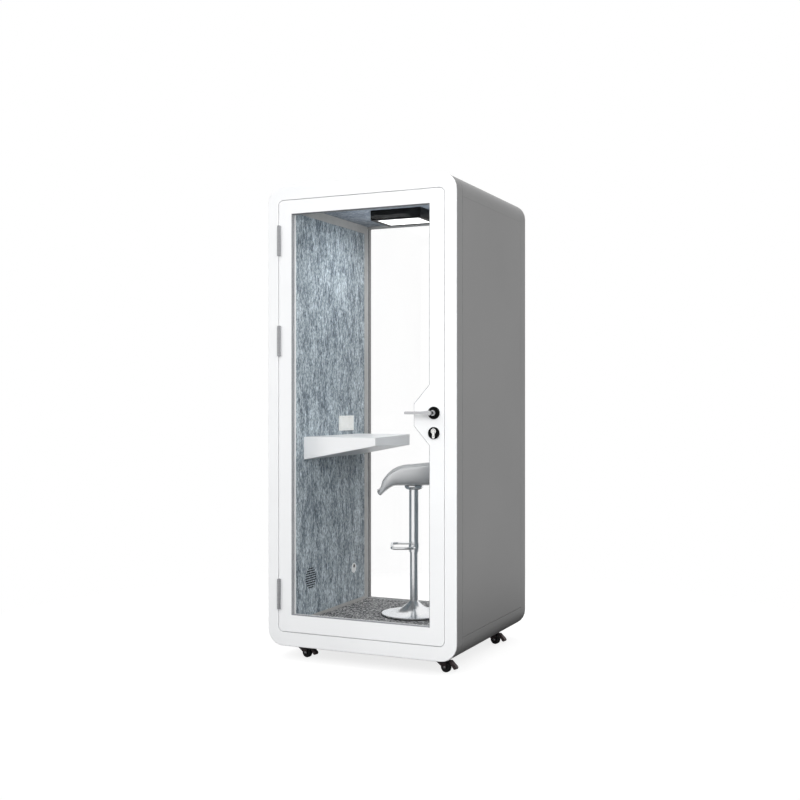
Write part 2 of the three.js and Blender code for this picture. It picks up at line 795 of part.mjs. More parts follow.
// Left felt: slots for the fresh air, cut to a circle, and a hole for the cable grommet
function ventedFelt() {
  let panel = feltPanel(-1);
  for (let i = 0; i < VENT_SLOTS; i += 1) {
    const z = (i - (VENT_SLOTS - 1) / 2) * VENT_PITCH;
    const half = Math.sqrt(VENT_RADIUS ** 2 - z ** 2);
    panel = panel.subtract(block(
      -CORE_X - FELT, -FELT_X + FELT, FAN_Y - half, FAN_Y + half,
      FAN_Z + z - VENT_SLOT / 2, FAN_Z + z + VENT_SLOT / 2,
    ));
  }
  const hole = rodX(GROMMET_BODY_RADIUS + FIT, -CORE_X - FELT, -FELT_X + FELT, ROUND_SIDES);
  return panel.subtract(hole.translate([0, GROMMET_Y, GROMMET_Z]));
}

function cableGrommet() {
  const body = join(
    rodX(GROMMET_BODY_RADIUS, -CORE_X - FELT, -FELT_X + GROMMET_FLANGE / 2, ROUND_SIDES),
    rodX(GROMMET_FLANGE_RADIUS, -FELT_X, -FELT_X + GROMMET_FLANGE, ROUND_SIDES),
  );
  const hole = rodX(GROMMET_HOLE_RADIUS, -CORE_X - 2 * FELT, -FELT_X + FELT);
  return body.subtract(hole.translate([0, 0, GROMMET_HOLE_LIFT])).translate([0, GROMMET_Y, GROMMET_Z]);
}

// Fan housing: a square ring with a spider that holds the bearing pin
function fanHousing() {
  const half = FAN_SIZE / 2;
  const frontX = -CORE_X;
  let body = block(FAN_BACK_X, frontX, -half, half, -half, half)
    .subtract(rodX(FAN_BORE_RADIUS, FAN_BACK_X - FELT, frontX + FELT, ROUND_SIDES));
  for (let arm = 0; arm < FAN_ARMS; arm += 1) {
    const strut = block(
      FAN_BACK_X, FAN_BACK_X + FAN_SPIDER, -FAN_STRUT / 2, FAN_STRUT / 2, 0, FAN_BORE_RADIUS + FIT,
    );
    body = body.add(strut.rotate([(arm * 360) / FAN_ARMS, 0, 0]));
  }
  const boss = rodX(FAN_HUB_RADIUS, FAN_BACK_X, FAN_BACK_X + FAN_SPIDER, ROUND_SIDES);
  const pin = rodX(FAN_PIN_RADIUS, FAN_BACK_X, FAN_BACK_X + FAN_SPIDER + FAN_PIN_LENGTH);
  return join(body, boss, pin).translate([0, FAN_Y, FAN_Z]);
}

function fanRotor() {
  const x0 = FAN_BACK_X + FAN_SPIDER + SWIVEL_GAP;
  const x1 = x0 + FAN_HUB;
  let rotor = rodX(FAN_HUB_RADIUS, x0, x1, ROUND_SIDES);
  const inner = FAN_HUB_RADIUS - FAN_BLADE;
  for (let blade = 0; blade < FAN_BLADES; blade += 1) {
    const geometry = new THREE.BoxGeometry(FAN_BLADE_CHORD, FAN_BLADE, FAN_TIP_RADIUS - inner);
    geometry.rotateZ(THREE.MathUtils.degToRad(FAN_PITCH));
    geometry.translate((x0 + x1) / 2, 0, (FAN_TIP_RADIUS + inner) / 2);
    geometry.rotateX((blade / FAN_BLADES) * Math.PI * 2);
    rotor = rotor.add(solid(geometry));
  }
  const bore = rodX(FAN_PIN_RADIUS + AXLE_CLEARANCE, x0 - FELT, x0 + FAN_PIN_LENGTH);
  return rotor.subtract(bore).translate([0, FAN_Y, FAN_Z]);
}

// Ceiling lamp: a black box frame with an opal plate set into its underside
function lampBox(inset, z0, z1) {
  const y0 = FRONT_Y + LAMP_SETBACK;
  return block(
    -LAMP_WIDTH / 2 + inset, LAMP_WIDTH / 2 - inset, y0 + inset, y0 + LAMP_DEPTH - inset, z0, z1,
  );
}

function lampHousing() {
  const z0 = CEILING_Z - LAMP_HEIGHT;
  return cut(lampBox(0, z0, CEILING_Z), lampBox(LAMP_RIM, z0 - LAMP_RIM, z0 + LAMP_RECESS));
}

function lampDiffuser() {
  const z1 = CEILING_Z - LAMP_HEIGHT + LAMP_RECESS - FIT;
  return lampBox(LAMP_RIM + FIT, z1 - DIFFUSER, z1);
}

// Wall desk: deep at the wall and thin at its free end, which runs back at a slant
function deskTop() {
  const y0 = FRONT_Y + DESK_SETBACK;
  const y1 = y0 + DESK_RUN;
  const wedge = slabY(
    polygon([
      [-FELT_X, DESK_Z - DESK_ROOT],
      [-FELT_X + DESK_FRONT_REACH, DESK_Z - DESK_TIP],
      [-FELT_X + DESK_FRONT_REACH, DESK_Z],
      [-FELT_X, DESK_Z],
    ]),
    y0, y1,
  );
  const slant = (DESK_FRONT_REACH - DESK_BACK_REACH) / DESK_RUN;
  const beyond = DESK_RUN / 10;
  const offcut = slabZ(
    polygon([
      [-FELT_X + DESK_FRONT_REACH, y0],
      [-FELT_X + DESK_FRONT_REACH + beyond, y0],
      [-FELT_X + DESK_FRONT_REACH + beyond, y1 + beyond],
      [-FELT_X + DESK_BACK_REACH - slant * beyond, y1 + beyond],
    ]),
    DESK_Z - 2 * DESK_ROOT, DESK_Z + DESK_ROOT,
  );
  return wedge.subtract(offcut);
}

function switchCentres() {
  const z = SWITCH_Z + SWITCH_SIZE / 2;
  const y0 = FRONT_Y + SWITCH_SETBACK + SWITCH_SIZE / 2;
  return Array.from({ length: SWITCH_COUNT }, (_, i) => ({ y: y0 + i * SWITCH_SIZE, z }));
}

function switchPlate() {
  const y0 = FRONT_Y + SWITCH_SETBACK;
  let plate = block(
    -FELT_X, -FELT_X + SWITCH_PLATE, y0, y0 + SWITCH_COUNT * SWITCH_SIZE,
    SWITCH_Z, SWITCH_Z + SWITCH_SIZE,
  );
  const half = ROCKER_SIZE / 2 + ROCKER_CLEARANCE;
  for (const { y, z } of switchCentres()) {
    plate = plate.subtract(block(
      -FELT_X - SWITCH_PLATE, -FELT_X + 2 * SWITCH_PLATE, y - half, y + half, z - half, z + half,
    ));
  }
  return plate;
}

function switchRocker({ y, z }) {
  const half = ROCKER_SIZE / 2;
  const x1 = -FELT_X + SWITCH_PLATE + ROCKER_PROUD;
  return block(x1 - ROCKER, x1, y - half, y + half, z - half, z + half);
}

// The clear opening of the leaf, with the lock panel's slanted step on the right
function glassOutline(grow) {
  const side = LEAF_X - STILE + grow;
  const panel = side - LOCK_PANEL_REACH;
  const middle = LEVER_Z - LOCK_PANEL_DROP;
  return polygon([
    [-side, LEAF_Z0 + BOTTOM_RAIL - grow],
    [side, LEAF_Z0 + BOTTOM_RAIL - grow],
    [side, middle - LOCK_PANEL_OUTER / 2],
    [panel, middle - LOCK_PANEL_INNER / 2],
    [panel, middle + LOCK_PANEL_INNER / 2],
    [side, middle + LOCK_PANEL_OUTER / 2],
    [side, LEAF_Z1 - TOP_RAIL + grow],
    [-side, LEAF_Z1 - TOP_RAIL + grow],
  ]);
}

// The euro profile of the lock cylinder: a round barrel over a narrow web
function cylinderProfile(grow) {
  const radius = CYLINDER_RADIUS + grow;
  const half = CYLINDER_WEB / 2 + grow;
  const lobeZ = -CYLINDER_DROP + CYLINDER_WEB / 2;
  const shoulder = Math.acos(half / radius);
  const outline = new THREE.Shape();
  outline.absarc(0, 0, radius, -shoulder, Math.PI + shoulder);
  outline.lineTo(-half, lobeZ);
  outline.absarc(0, lobeZ, half, Math.PI, Math.PI * 2);
  outline.lineTo(half, -radius * Math.sin(shoulder));
  return outline;
}

function lockCaseBox(grow) {
  const half = LOCK_CASE_THICKNESS / 2 + grow;
  return block(
    LOCK_X - LOCK_CASE_BACK - grow, BODY_X, LOCK_Y - half, LOCK_Y + half,
    CYLINDER_Z - LOCK_CASE_FOOT - grow, LEVER_Z + LOCK_CASE_TOP + grow,
  );
}

function forendPlate(grow) {
  const half = FOREND_WIDTH / 2 + grow;
  return block(
    BODY_X - FOREND - grow, BODY_X + grow, LOCK_Y - half, LOCK_Y + half,
    CYLINDER_Z - LOCK_CASE_FOOT - FOREND_OVERLAP - grow,
    LEVER_Z + LOCK_CASE_TOP + FOREND_OVERLAP + grow,
  );
}

function spindleBore(radius) {
  return rodY(radius, FRONT_Y - LEAF, LEAF_BACK_Y + LEAF).translate([LOCK_X, 0, LEVER_Z]);
}

function cylinderBore() {
  return slabY(cylinderProfile(FIT), FRONT_Y - LEAF, LEAF_BACK_Y + LEAF).translate([LOCK_X, 0, CYLINDER_Z]);
}

function doorLeaf() {
  const flange = filletedSlab(
    LEAF_X, LEAF_Z0, LEAF_Z1, LEAF_RADIUS, FRONT_Y, FRONT_Y + FLANGE, LEAF_EDGE_FILLET,
  );
  const back = slabY(leafOutline(FLANGE_LAP), FRONT_Y + FLANGE / 2, LEAF_BACK_Y);
  const glassY = FRONT_Y + GLASS_SETBACK;
  return cut(
    join(flange, back),
    slabY(glassOutline(0), FRONT_Y - LEAF, LEAF_BACK_Y + LEAF),
    slabY(glassOutline(GLASS_BITE), glassY - FIT, glassY + DOOR_GLASS + FIT),
    lockCaseBox(FIT),
    forendPlate(FIT),
    spindleBore(SPINDLE),
    cylinderBore(),
  );
}

function doorGlass() {
  const glassY = FRONT_Y + GLASS_SETBACK;
  return slabY(glassOutline(GLASS_BITE - FIT), glassY, glassY + DOOR_GLASS);
}

// Compression seal on the door stop, just clear of the closed leaf
function doorSeal() {
  const inset = FLANGE_LAP - DOOR_GAP;
  return cut(
    slabY(leafOutline(inset + SEAL_INSET), LEAF_BACK_Y + SWIVEL_GAP, STOP_Y),
    slabY(leafOutline(inset + STOP_LIP - SEAL_INSET), LEAF_BACK_Y - LEAF, STOP_Y + LEAF),
  );
}

// Latch and dead bolt run in channels of the lock case
function boltChannel(z, height, x0) {
  const half = LATCH_THICKNESS / 2 + FIT;
  return block(
    x0 - FIT, BODY_X + FOREND, LOCK_Y - half, LOCK_Y + half,
    z - height / 2 - FIT, z + height / 2 + FIT,
  );
}

function lockCase() {
  return cut(
    join(lockCaseBox(0), forendPlate(0)),
    boltChannel(LEVER_Z, LATCH_HEIGHT, BODY_X - LATCH_LENGTH),
    boltChannel(BOLT_Z, BOLT_HEIGHT, BODY_X - BOLT_LENGTH),
    spindleBore(SPINDLE),
    cylinderBore(),
  );
}

// The latch's nose slopes on the side that meets the jamb when the door shuts
function latchBolt() {
  const x0 = BODY_X + LATCH_THROW - LATCH_LENGTH;
  const x1 = BODY_X + LATCH_THROW;
  const y0 = LOCK_Y - LATCH_THICKNESS / 2;
  const y1 = LOCK_Y + LATCH_THICKNESS / 2;
  const outline = polygon([[x0, y0], [x1, y0], [x1, y0 + LATCH_NOSE], [BODY_X, y1], [x0, y1]]);
  return slabZ(outline, LEVER_Z - LATCH_HEIGHT / 2, LEVER_Z + LATCH_HEIGHT / 2);
}

function deadbolt() {
  const half = LATCH_THICKNESS / 2;
  return block(
    BODY_X - BOLT_LENGTH, BODY_X, LOCK_Y - half, LOCK_Y + half,
    BOLT_Z - BOLT_HEIGHT / 2, BOLT_Z + BOLT_HEIGHT / 2,
  );
}

function outsideRose() {
  const y1 = FRONT_Y - FIT;
  const disc = turnedDisc(ROSE_RADIUS, y1 - ROSE, y1);
  const bore = rodY(LEVER_COLLAR_RADIUS + NECK_CLEARANCE, y1 - 2 * ROSE, y1 + ROSE, ROUND_SIDES);
  return disc.subtract(bore).translate([LOCK_X, 0, LEVER_Z]);
}

// A disc along Y with a softened front rim
function turnedDisc(radius, y0, y1) {
  const disc = turned([
    [0, y0], [radius - DISC_CHAMFER, y0], [radius, y0 + DISC_CHAMFER], [radius, y1], [0, y1],
  ]);
  return disc.rotate([90, 0, 0]).mirror([0, 1, 0]);
}

function outsideEscutcheon() {
  const y1 = FRONT_Y - FIT;
  const disc = turnedDisc(ESCUTCHEON_RADIUS, y1 - ESCUTCHEON, y1)
    .translate([LOCK_X, 0, CYLINDER_Z - ESCUTCHEON_DROP]);
  return disc.subtract(cylinderBore());
}

function insideBackplate() {
  const y0 = LEAF_BACK_Y + FIT;
  const half = BACKPLATE_WIDTH / 2;
  const outline = roundedRectangle(
    LOCK_X - half, LOCK_X + half, CYLINDER_Z - BACKPLATE_OVERLAP, LEVER_Z + BACKPLATE_OVERLAP, half / 2,
  );
  return cut(
    slabY(outline, y0, y0 + BACKPLATE),
    spindleBore(LEVER_COLLAR_RADIUS + NECK_CLEARANCE),
    cylinderBore(),
  );
}

// A lever towards -X: a collar in its rose, a neck along Y and a slim bar with a broader head and a round tip
function leverBody(rootY, tipY) {
  const outward = Math.sign(tipY - rootY);
  const barY = tipY - outward * LEVER_BAR_DEPTH / 2;
  const span = (a, b) => [Math.min(a, b), Math.max(a, b)];
  const collar = rodY(LEVER_COLLAR_RADIUS, ...span(rootY, rootY + outward * LEVER_COLLAR), ROUND_SIDES);
  const neck = rodY(LEVER_NECK_RADIUS, ...span(rootY, tipY));
  const half = LEVER_BAR_HEIGHT / 2;
  const outline = new THREE.Shape();
  outline.absarc(-LEVER_HEAD_INSET, 0, LEVER_HEAD_RADIUS, -Math.PI / 2, Math.PI / 2);
  outline.lineTo(-LEVER_TAPER, half);
  outline.absarc(half - LEVER_LENGTH, 0, half, Math.PI / 2, 3 * Math.PI / 2);
  outline.lineTo(-LEVER_TAPER, -half);
  const bar = slabY(outline, ...span(barY - LEVER_BAR_DEPTH / 2, barY + LEVER_BAR_DEPTH / 2));
  return join(collar, neck, bar);
}

function outsideLever() {
  const rootY = FRONT_Y - FIT - ROSE + COLLAR_SINK;
  const body = leverBody(rootY, FRONT_Y - LEVER_REACH);
  const half = SPINDLE / 2;
  const spindle = block(
    -half, half, rootY - SPINDLE_BITE, LEAF_BACK_Y + BACKPLATE + 2 * SPINDLE_BITE, -half, half,
  );
  return body.add(spindle).translate([LOCK_X, 0, LEVER_Z]);
}

function insideLever() {
  const rootY = LEAF_BACK_Y + FIT + BACKPLATE - COLLAR_SINK;
  const body = leverBody(rootY, LEAF_BACK_Y + LEVER_REACH);
  const half = SPINDLE / 2 + FIT;
  const socket = block(
    -half, half, LEAF_BACK_Y - LEAF, LEAF_BACK_Y + BACKPLATE + 2 * SPINDLE_BITE + FIT, -half, half,
  );
  return body.subtract(socket).translate([LOCK_X, 0, LEVER_Z]);
}

function lockCylinder() {
  const y0 = FRONT_Y - FIT - ESCUTCHEON - CYLINDER_PROUD;
  const y1 = LEAF_BACK_Y + FIT + BACKPLATE + CYLINDER_PROUD;
  const barrel = slabY(cylinderProfile(0), y0, y1);
  return barrel.subtract(rodY(PLUG_RADIUS + FIT, y0 - LEAF, y1 + LEAF)).translate([LOCK_X, 0, CYLINDER_Z]);
}

// The turning plug: a keyway outside and a thumb piece inside
function thumbturn() {
  const y0 = FRONT_Y - FIT - ESCUTCHEON - CYLINDER_PROUD;
  const knobY = LEAF_BACK_Y + FIT + BACKPLATE + CYLINDER_PROUD + SWIVEL_GAP;
  const plug = rodY(PLUG_RADIUS, y0, knobY + FIT);
  const half = TURN_WIDTH / 2;
  const knob = slabY(
    roundedRectangle(-half, half, -TURN_LENGTH / 2, TURN_LENGTH / 2, half - TIP_FLAT / 2),
    knobY, knobY + TURN_REACH,
  );
  const keyway = block(
    -KEYWAY_WIDTH / 2, KEYWAY_WIDTH / 2, y0 - KEYWAY_DEPTH, y0 + KEYWAY_DEPTH,
    -KEYWAY_HEIGHT / 2, KEYWAY_HEIGHT / 2,
  );
  return cut(join(plug, knob), keyway).translate([LOCK_X, 0, CYLINDER_Z]);
}

// Lift-off barrel hinge: the lower half with its pin stands on the jamb, the upper half hangs the leaf
function hingePost() {
  const top = -HINGE_SPLIT / 2;
  const flagX = -HINGE_INSET - DOOR_GAP / 2 + FIT / 2;
  return join(
    rodZ(HINGE_RADIUS, -HINGE_HEIGHT / 2, top),
    rodZ(HINGE_PIN_RADIUS, top - HINGE_RADIUS, HINGE_PIN_LENGTH),
    block(flagX, flagX + HINGE_FLAG, 0, HINGE_RADIUS + FIT + HINGE_FLAG_REACH, -HINGE_HEIGHT / 2, top),
  );
}

function hingeLeaf() {
  const bottom = HINGE_SPLIT / 2;
  const flagX = -HINGE_INSET + DOOR_GAP / 2 - FIT / 2;
  const half = join(
    rodZ(HINGE_RADIUS, bottom, HINGE_HEIGHT / 2),
    block(
      flagX - HINGE_FLAG, flagX, 0, HINGE_RADIUS + FIT + HINGE_FLAG_REACH, bottom, HINGE_HEIGHT / 2,
    ),
  );
  const bore = rodZ(
    HINGE_PIN_RADIUS + NECK_CLEARANCE, bottom - HINGE_SPLIT, HINGE_PIN_LENGTH + NECK_CLEARANCE,
  );
  return half.subtract(bore);
}

// Brake pedal: an arm on from the fork's crown, bent down beyond the wheel, with a rounded toe
function casterPedal(crownZ, nose) {
  const bendY = -CASTER_TRAIL - PEDAL_KNEE;
  const lean = Math.atan2(PEDAL_DROP, PEDAL_REACH - PEDAL_KNEE);
  const arm = new THREE.Shape();
  arm.moveTo(nose, crownZ);
  arm.lineTo(nose, crownZ + FORK_CROWN);
  arm.lineTo(bendY, crownZ + FORK_CROWN);
  arm.absarc(
    -CASTER_TRAIL - PEDAL_REACH, crownZ - PEDAL_DROP, PEDAL_TOE_RADIUS,
    lean + Math.PI / 2, lean + 3 * Math.PI / 2,
  );
  arm.lineTo(bendY + PEDAL_TOE_RADIUS, crownZ);
  return slabX(arm, -PEDAL_WIDTH / 2, PEDAL_WIDTH / 2);
}

// Caster fork: head, crown and two cheeks, with the brake pedal, the axle and the kingpin
function casterFork() {
  const crownZ = 2 * WHEEL_RADIUS + FORK_CROWN_GAP;
  const crownTop = crownZ + FORK_CROWN;
  const headTop = BOTTOM_Z - CASTER_PAD_THICKNESS - SWIVEL_GAP;
  const inner = WHEEL_WIDTH / 2 + FORK_SIDE_GAP;
  const outer = inner + FORK_CHEEK;
  const nose = -CASTER_TRAIL - FORK_EYE_RADIUS;
  const cheek = new THREE.Shape();
  cheek.moveTo(FORK_TAIL, crownTop);
  cheek.lineTo(nose, crownTop);
  cheek.lineTo(nose, WHEEL_RADIUS);
  cheek.absarc(
    -CASTER_TRAIL, WHEEL_RADIUS, FORK_EYE_RADIUS, Math.PI, THREE.MathUtils.degToRad(FORK_EYE_END),
  );
  cheek.lineTo(FORK_TAIL, crownZ - FORK_CROWN);
  const crown = block(-outer, outer, nose, FORK_TAIL, crownZ, crownTop);
  const axle = rodX(AXLE_RADIUS, -outer, outer).translate([0, -CASTER_TRAIL, WHEEL_RADIUS]);
  return join(
    crown,
    casterPedal(crownZ, nose),
    slabX(cheek, inner, outer),
    slabX(cheek, -outer, -inner),
    axle,
    rodZ(FORK_HEAD_RADIUS, crownZ, headTop),
    rodZ(KINGPIN_RADIUS, crownTop, headTop + KINGPIN_LENGTH),
  );
}

// Caster wheel: tread with rounded shoulders and a dished hub; it stands on one flat facet
function casterWheel() {
  const half = WHEEL_WIDTH / 2;
  const toFacet = 1 / Math.cos(Math.PI / WHEEL_SIDES);
  const bore = AXLE_RADIUS + AXLE_CLEARANCE;
  const profile = [
    [bore, -half + WHEEL_HUB_RECESS],
    [WHEEL_HUB_RADIUS, -half + WHEEL_HUB_RECESS],
    [WHEEL_HUB_RADIUS, -half],
    [(WHEEL_RADIUS - WHEEL_ROUNDING) * toFacet, -half],
    [WHEEL_RADIUS * toFacet, -half + WHEEL_ROUNDING],
    [WHEEL_RADIUS * toFacet, half - WHEEL_ROUNDING],
    [(WHEEL_RADIUS - WHEEL_ROUNDING) * toFacet, half],
    [WHEEL_HUB_RADIUS, half],
    [WHEEL_HUB_RADIUS, half - WHEEL_HUB_RECESS],
    [bore, half - WHEEL_HUB_RECESS],
  ];
  const wheel = turned([...profile, profile[0]], WHEEL_SIDES);
  return wheel
    .rotate([0, 0, 180 / WHEEL_SIDES])
    .rotate([0, 90, 0])
    .translate([0, -CASTER_TRAIL, WHEEL_RADIUS]);
}

// Stool base: a trumpet foot that runs up into the column, bored for the gas spring
function stoolBase() {
  const bore = GAS_ROD_RADIUS + SLIDE_CLEARANCE;
  const profile = [[0, 0], [STOOL_BASE_RADIUS, 0], [STOOL_BASE_RADIUS, STOOL_BASE_EDGE]];
  const flare = STOOL_BASE_RADIUS - STOOL_COLUMN_RADIUS;
  const climb = STOOL_FLARE_HEIGHT - STOOL_BASE_EDGE;
  for (let i = 1; i <= FLARE_STEPS; i += 1) {
    const t = i / FLARE_STEPS;
    profile.push([
      STOOL_COLUMN_RADIUS + flare * (1 - t) ** STOOL_FLARE_SPREAD,
      STOOL_BASE_EDGE + climb * t ** STOOL_FLARE_CLIMB,
    ]);
  }
  profile.push(
    [STOOL_COLUMN_RADIUS, STOOL_COLUMN_TOP],
    [bore, STOOL_COLUMN_TOP],
    [bore, GAS_ROD_BORE_FLOOR],
    [0, GAS_ROD_BORE_FLOOR],
  );
  return turned(profile, ROUND_SIDES);
}

// At the lowest seat the rod stops just short of the floor of its bore
function gasRod() {
  const top = SLEEVE_TOP + BELL_HEIGHT / 2 - SWIVEL_GAP;
  const bottom = GAS_ROD_BORE_FLOOR + GAS_ROD_END_GAP + STOOL_TRAVEL;
  return rodZ(GAS_ROD_RADIUS, bottom, top);
}

// Sleeve: the tube over the column, with the bowl-shaped bell under the seat
function stoolSleeve() {
  const inner = STOOL_COLUMN_RADIUS + SLIDE_CLEARANCE;
  const socket = GAS_ROD_RADIUS + SLIDE_CLEARANCE;
  const bellTop = SLEEVE_TOP + BELL_HEIGHT;
  const socketTop = SLEEVE_TOP + BELL_HEIGHT / 2;
  const profile = [
    [0, socketTop], [socket, socketTop], [socket, SLEEVE_NECK], [inner, SLEEVE_BORE_TOP],
    [inner, SLEEVE_BOTTOM], [SLEEVE_RADIUS, SLEEVE_BOTTOM], [SLEEVE_RADIUS, SLEEVE_TOP],
  ];
  for (let i = 0; i <= BELL_STEPS; i += 1) {
    const angle = (i / BELL_STEPS) * (Math.PI / 2);
    profile.push([
      BELL_NECK_RADIUS + (BELL_RADIUS - BELL_NECK_RADIUS) * Math.sin(angle),
      SLEEVE_TOP + (BELL_HEIGHT - BELL_LIP) * (1 - Math.cos(angle)),
    ]);
  }
  const sleeve = turned([...profile, [BELL_RADIUS, bellTop], [0, bellTop]]);
  const half = LIFT_ROD_RADIUS + LIFT_ROD_CLEARANCE / 2;
  const rodZ0 = bellTop - LIFT_ROD_DROP;
  const slot = block(
    -half, half, LIFT_ROD_ROOT, BELL_RADIUS * 2, rodZ0 - half, bellTop + FIT,
  );
  return sleeve.subtract(slot);
}

// Footrest: a flat loop of bar clamped to the sleeve by a collar
function stoolFootrest() {
  const side = FOOTREST_WIDTH / 2 - FOOTREST_BAR_RADIUS;
  const front = -FOOTREST_REACH + FOOTREST_BAR_RADIUS;
  const corner = FOOTREST_CORNER;
  const at = (x, y) => new THREE.Vector3(x, y, FOOTREST_RISE);
  const path = new THREE.CurvePath();
  const turns = [[0, side], [front, side], [front, -side], [0, -side]];
  let from = at(0, FOOTREST_BAR_RADIUS / 4);
  turns.forEach(([x, y], i) => {
    const before = i === 0 ? [0, 0] : turns[i - 1];
    const after = i === turns.length - 1 ? [0, 0] : turns[i + 1];
    const enter = at(x - Math.sign(x - before[0]) * corner, y - Math.sign(y - before[1]) * corner);
    const leave = at(x + Math.sign(after[0] - x) * corner, y + Math.sign(after[1] - y) * corner);
    path.add(new THREE.LineCurve3(from, enter));
    path.add(new THREE.QuadraticBezierCurve3(enter, at(x, y), leave));
    from = leave;
  });
  path.add(new THREE.LineCurve3(from, at(0, -FOOTREST_BAR_RADIUS / 4)));
  const section = new THREE.Shape();
  section.absarc(0, 0, FOOTREST_BAR_RADIUS, 0, Math.PI * 2);
  const bar = new THREE.ExtrudeGeometry(section, {
    steps: FOOTREST_STEPS, curveSegments: BAR_ARC_STEPS, bevelEnabled: false, extrudePath: path,
  });
  const half = COLLAR_HEIGHT / 2;
  const collar = rodZ(COLLAR_RADIUS, FOOTREST_RISE - half, FOOTREST_RISE + half, ROUND_SIDES);
  const bore = rodZ(SLEEVE_RADIUS + FIT, SLEEVE_BOTTOM, SLEEVE_TOP, ROUND_SIDES);
  return join(solid(bar), collar).subtract(bore);
}

// Height of the seat's underside along its middle: it droops to the front lip and lifts at the back
function seatSpine(s) {
  const tip = SEAT_FRONT - SEAT_LIP;
  const front = THREE.MathUtils.clamp((s - (tip - SEAT_DROOP_RUN)) / SEAT_DROOP_RUN, 0, 1);
  const back = Math.max(0, (-s - (SEAT_BACK - SEAT_BACK_RUN)) / SEAT_BACK_RUN);
  return -SEAT_DROOP * front ** SEAT_DROOP_CURVE + SEAT_BACK_RISE * back ** SEAT_BACK_CURVE;
}

// Height of the seat's rim
function seatRim(s) {
  const front = Math.max(0, (s - (SEAT_FRONT - SEAT_NOSE_RUN)) / SEAT_NOSE_RUN);
  const back = Math.max(0, -s / SEAT_BACK);
  const lift = SEAT_RIM_BACK_LIFT * back ** SEAT_RIM_BACK_CURVE;
  return SEAT_RIM_LIFT - SEAT_NOSE_FALL * front ** SEAT_NOSE_CURVE + lift;
}

// Thickness in the middle of the seat: the shell swells into the front lip
function seatWall(s) {
  const tip = SEAT_FRONT - SEAT_LIP;
  const front = THREE.MathUtils.clamp((s - (tip - SEAT_DROOP_RUN)) / SEAT_DROOP_RUN, 0, 1);
  return SEAT_SHELL + (2 * SEAT_LIP - SEAT_SHELL) * front ** 2;
}

// One cross-section of the seat, from the left rim under the seat to the right rim and back inside
function seatRing(s, round) {
  const middle = (SEAT_FRONT - SEAT_BACK) / 2;
  const along = Math.abs(s - middle) / ((SEAT_FRONT + SEAT_BACK) / 2);
  const half = SEAT_HALF_WIDTH * Math.sqrt(1 - SEAT_PLAN_PINCH * along ** SEAT_PLAN_CURVE);
  const bow = SEAT_NOSE_BOW * Math.max(0, s / SEAT_FRONT) ** SEAT_NOSE_CURVE;
  const outer = [];
  const inner = [];
  for (let j = 0; j <= SEAT_STEPS_ACROSS; j += 1) {
    const side = (2 * j) / SEAT_STEPS_ACROSS - 1;
    const lift = Math.abs(side) ** SEAT_SIDE_CURVE;
    const wide = Math.sin((side * Math.PI) / 2);
    const at = s - bow * side ** 2;
    const lowest = SEAT_Z + seatSpine(at);
    const rise = Math.max(seatRim(at) - seatSpine(at), SEAT_LEAST_RISE);
    const wall = Math.min(seatWall(at), rise);
    const below = new THREE.Vector3(-at, half * wide, lowest + rise * lift);
    const above = new THREE.Vector3(
      -at, (half - SEAT_SHELL * (1 - SEAT_EDGE_THINNING * lift)) * wide, lowest + wall + (rise - wall) * lift,
    );
    const core = below.clone().lerp(above, 1 / 2);
    outer.push(core.clone().lerp(below, round));
    inner.push(core.clone().lerp(above, round));
  }
  return [...outer, ...inner.reverse()];
}

// Scoop seat: a shell whose sides roll up to the rim, with rounded ends and a drooping front lip
function stoolSeat() {
  const middle = (SEAT_FRONT - SEAT_BACK) / 2;
  const reach = (SEAT_FRONT + SEAT_BACK) / 2;
  const rings = [];
  for (let i = 0; i <= SEAT_STATIONS; i += 1) {
    const s = middle - reach * Math.cos((i / SEAT_STATIONS) * Math.PI);
    const edge = s > middle ? SEAT_LIP : SEAT_SHELL;
    const inset = Math.min(1, (reach - Math.abs(s - middle)) / edge);
    rings.push(seatRing(s, Math.max(SEAT_END_FLAT, Math.sqrt(1 - (1 - inset) ** 2))));
  }
  return loftShell(rings);
}

// As loft, but the end rings are thin bands, closed by strips between their two edges
function loftShell(rings) {
  const count = rings[0].length;
  const positions = rings.flat().flatMap((point) => [point.x, point.y, point.z]);
  const index = [];
  for (let ring = 0; ring + 1 < rings.length; ring += 1) {
    for (let i = 0; i < count; i += 1) {
      const a = ring * count + i;
      const b = ring * count + ((i + 1) % count);
      index.push(a, b + count, b, a, a + count, b + count);
    }
  }
  const last = (rings.length - 1) * count;
  for (let i = 0; i + 1 < count / 2; i += 1) {
    const far = count - 1 - i;
    index.push(i, i + 1, far - 1, i, far - 1, far);
    index.push(last + i, last + far - 1, last + i + 1, last + i, last + far, last + far - 1);
  }
  const geometry = new THREE.BufferGeometry();
  geometry.setAttribute('position', new THREE.Float32BufferAttribute(positions, 3));
  geometry.setIndex(index);
  return solid(geometry);
}

// Lift lever: a rod from the valve in the bell, with a flat paddle for the fingers
function liftLever() {
  const z = SLEEVE_TOP + BELL_HEIGHT - LIFT_ROD_DROP;
  const y0 = LIFT_ROD_ROOT + LIFT_ROD_CLEARANCE;
  const y1 = y0 + LIFT_ROD_LENGTH;
  const rod = rodY(LIFT_ROD_RADIUS, y0, y1).translate([0, 0, z]);
  const half = LIFT_PADDLE_WIDTH / 2;
  const paddle = slabZ(
    roundedRectangle(-half, half, y1 - LIFT_ROD_RADIUS, y1 + LIFT_PADDLE_LENGTH, LIFT_PADDLE_CORNER),
    z - LIFT_ROD_RADIUS / 2, z + LIFT_ROD_RADIUS / 2,
  );
  return rod.add(paddle);
}

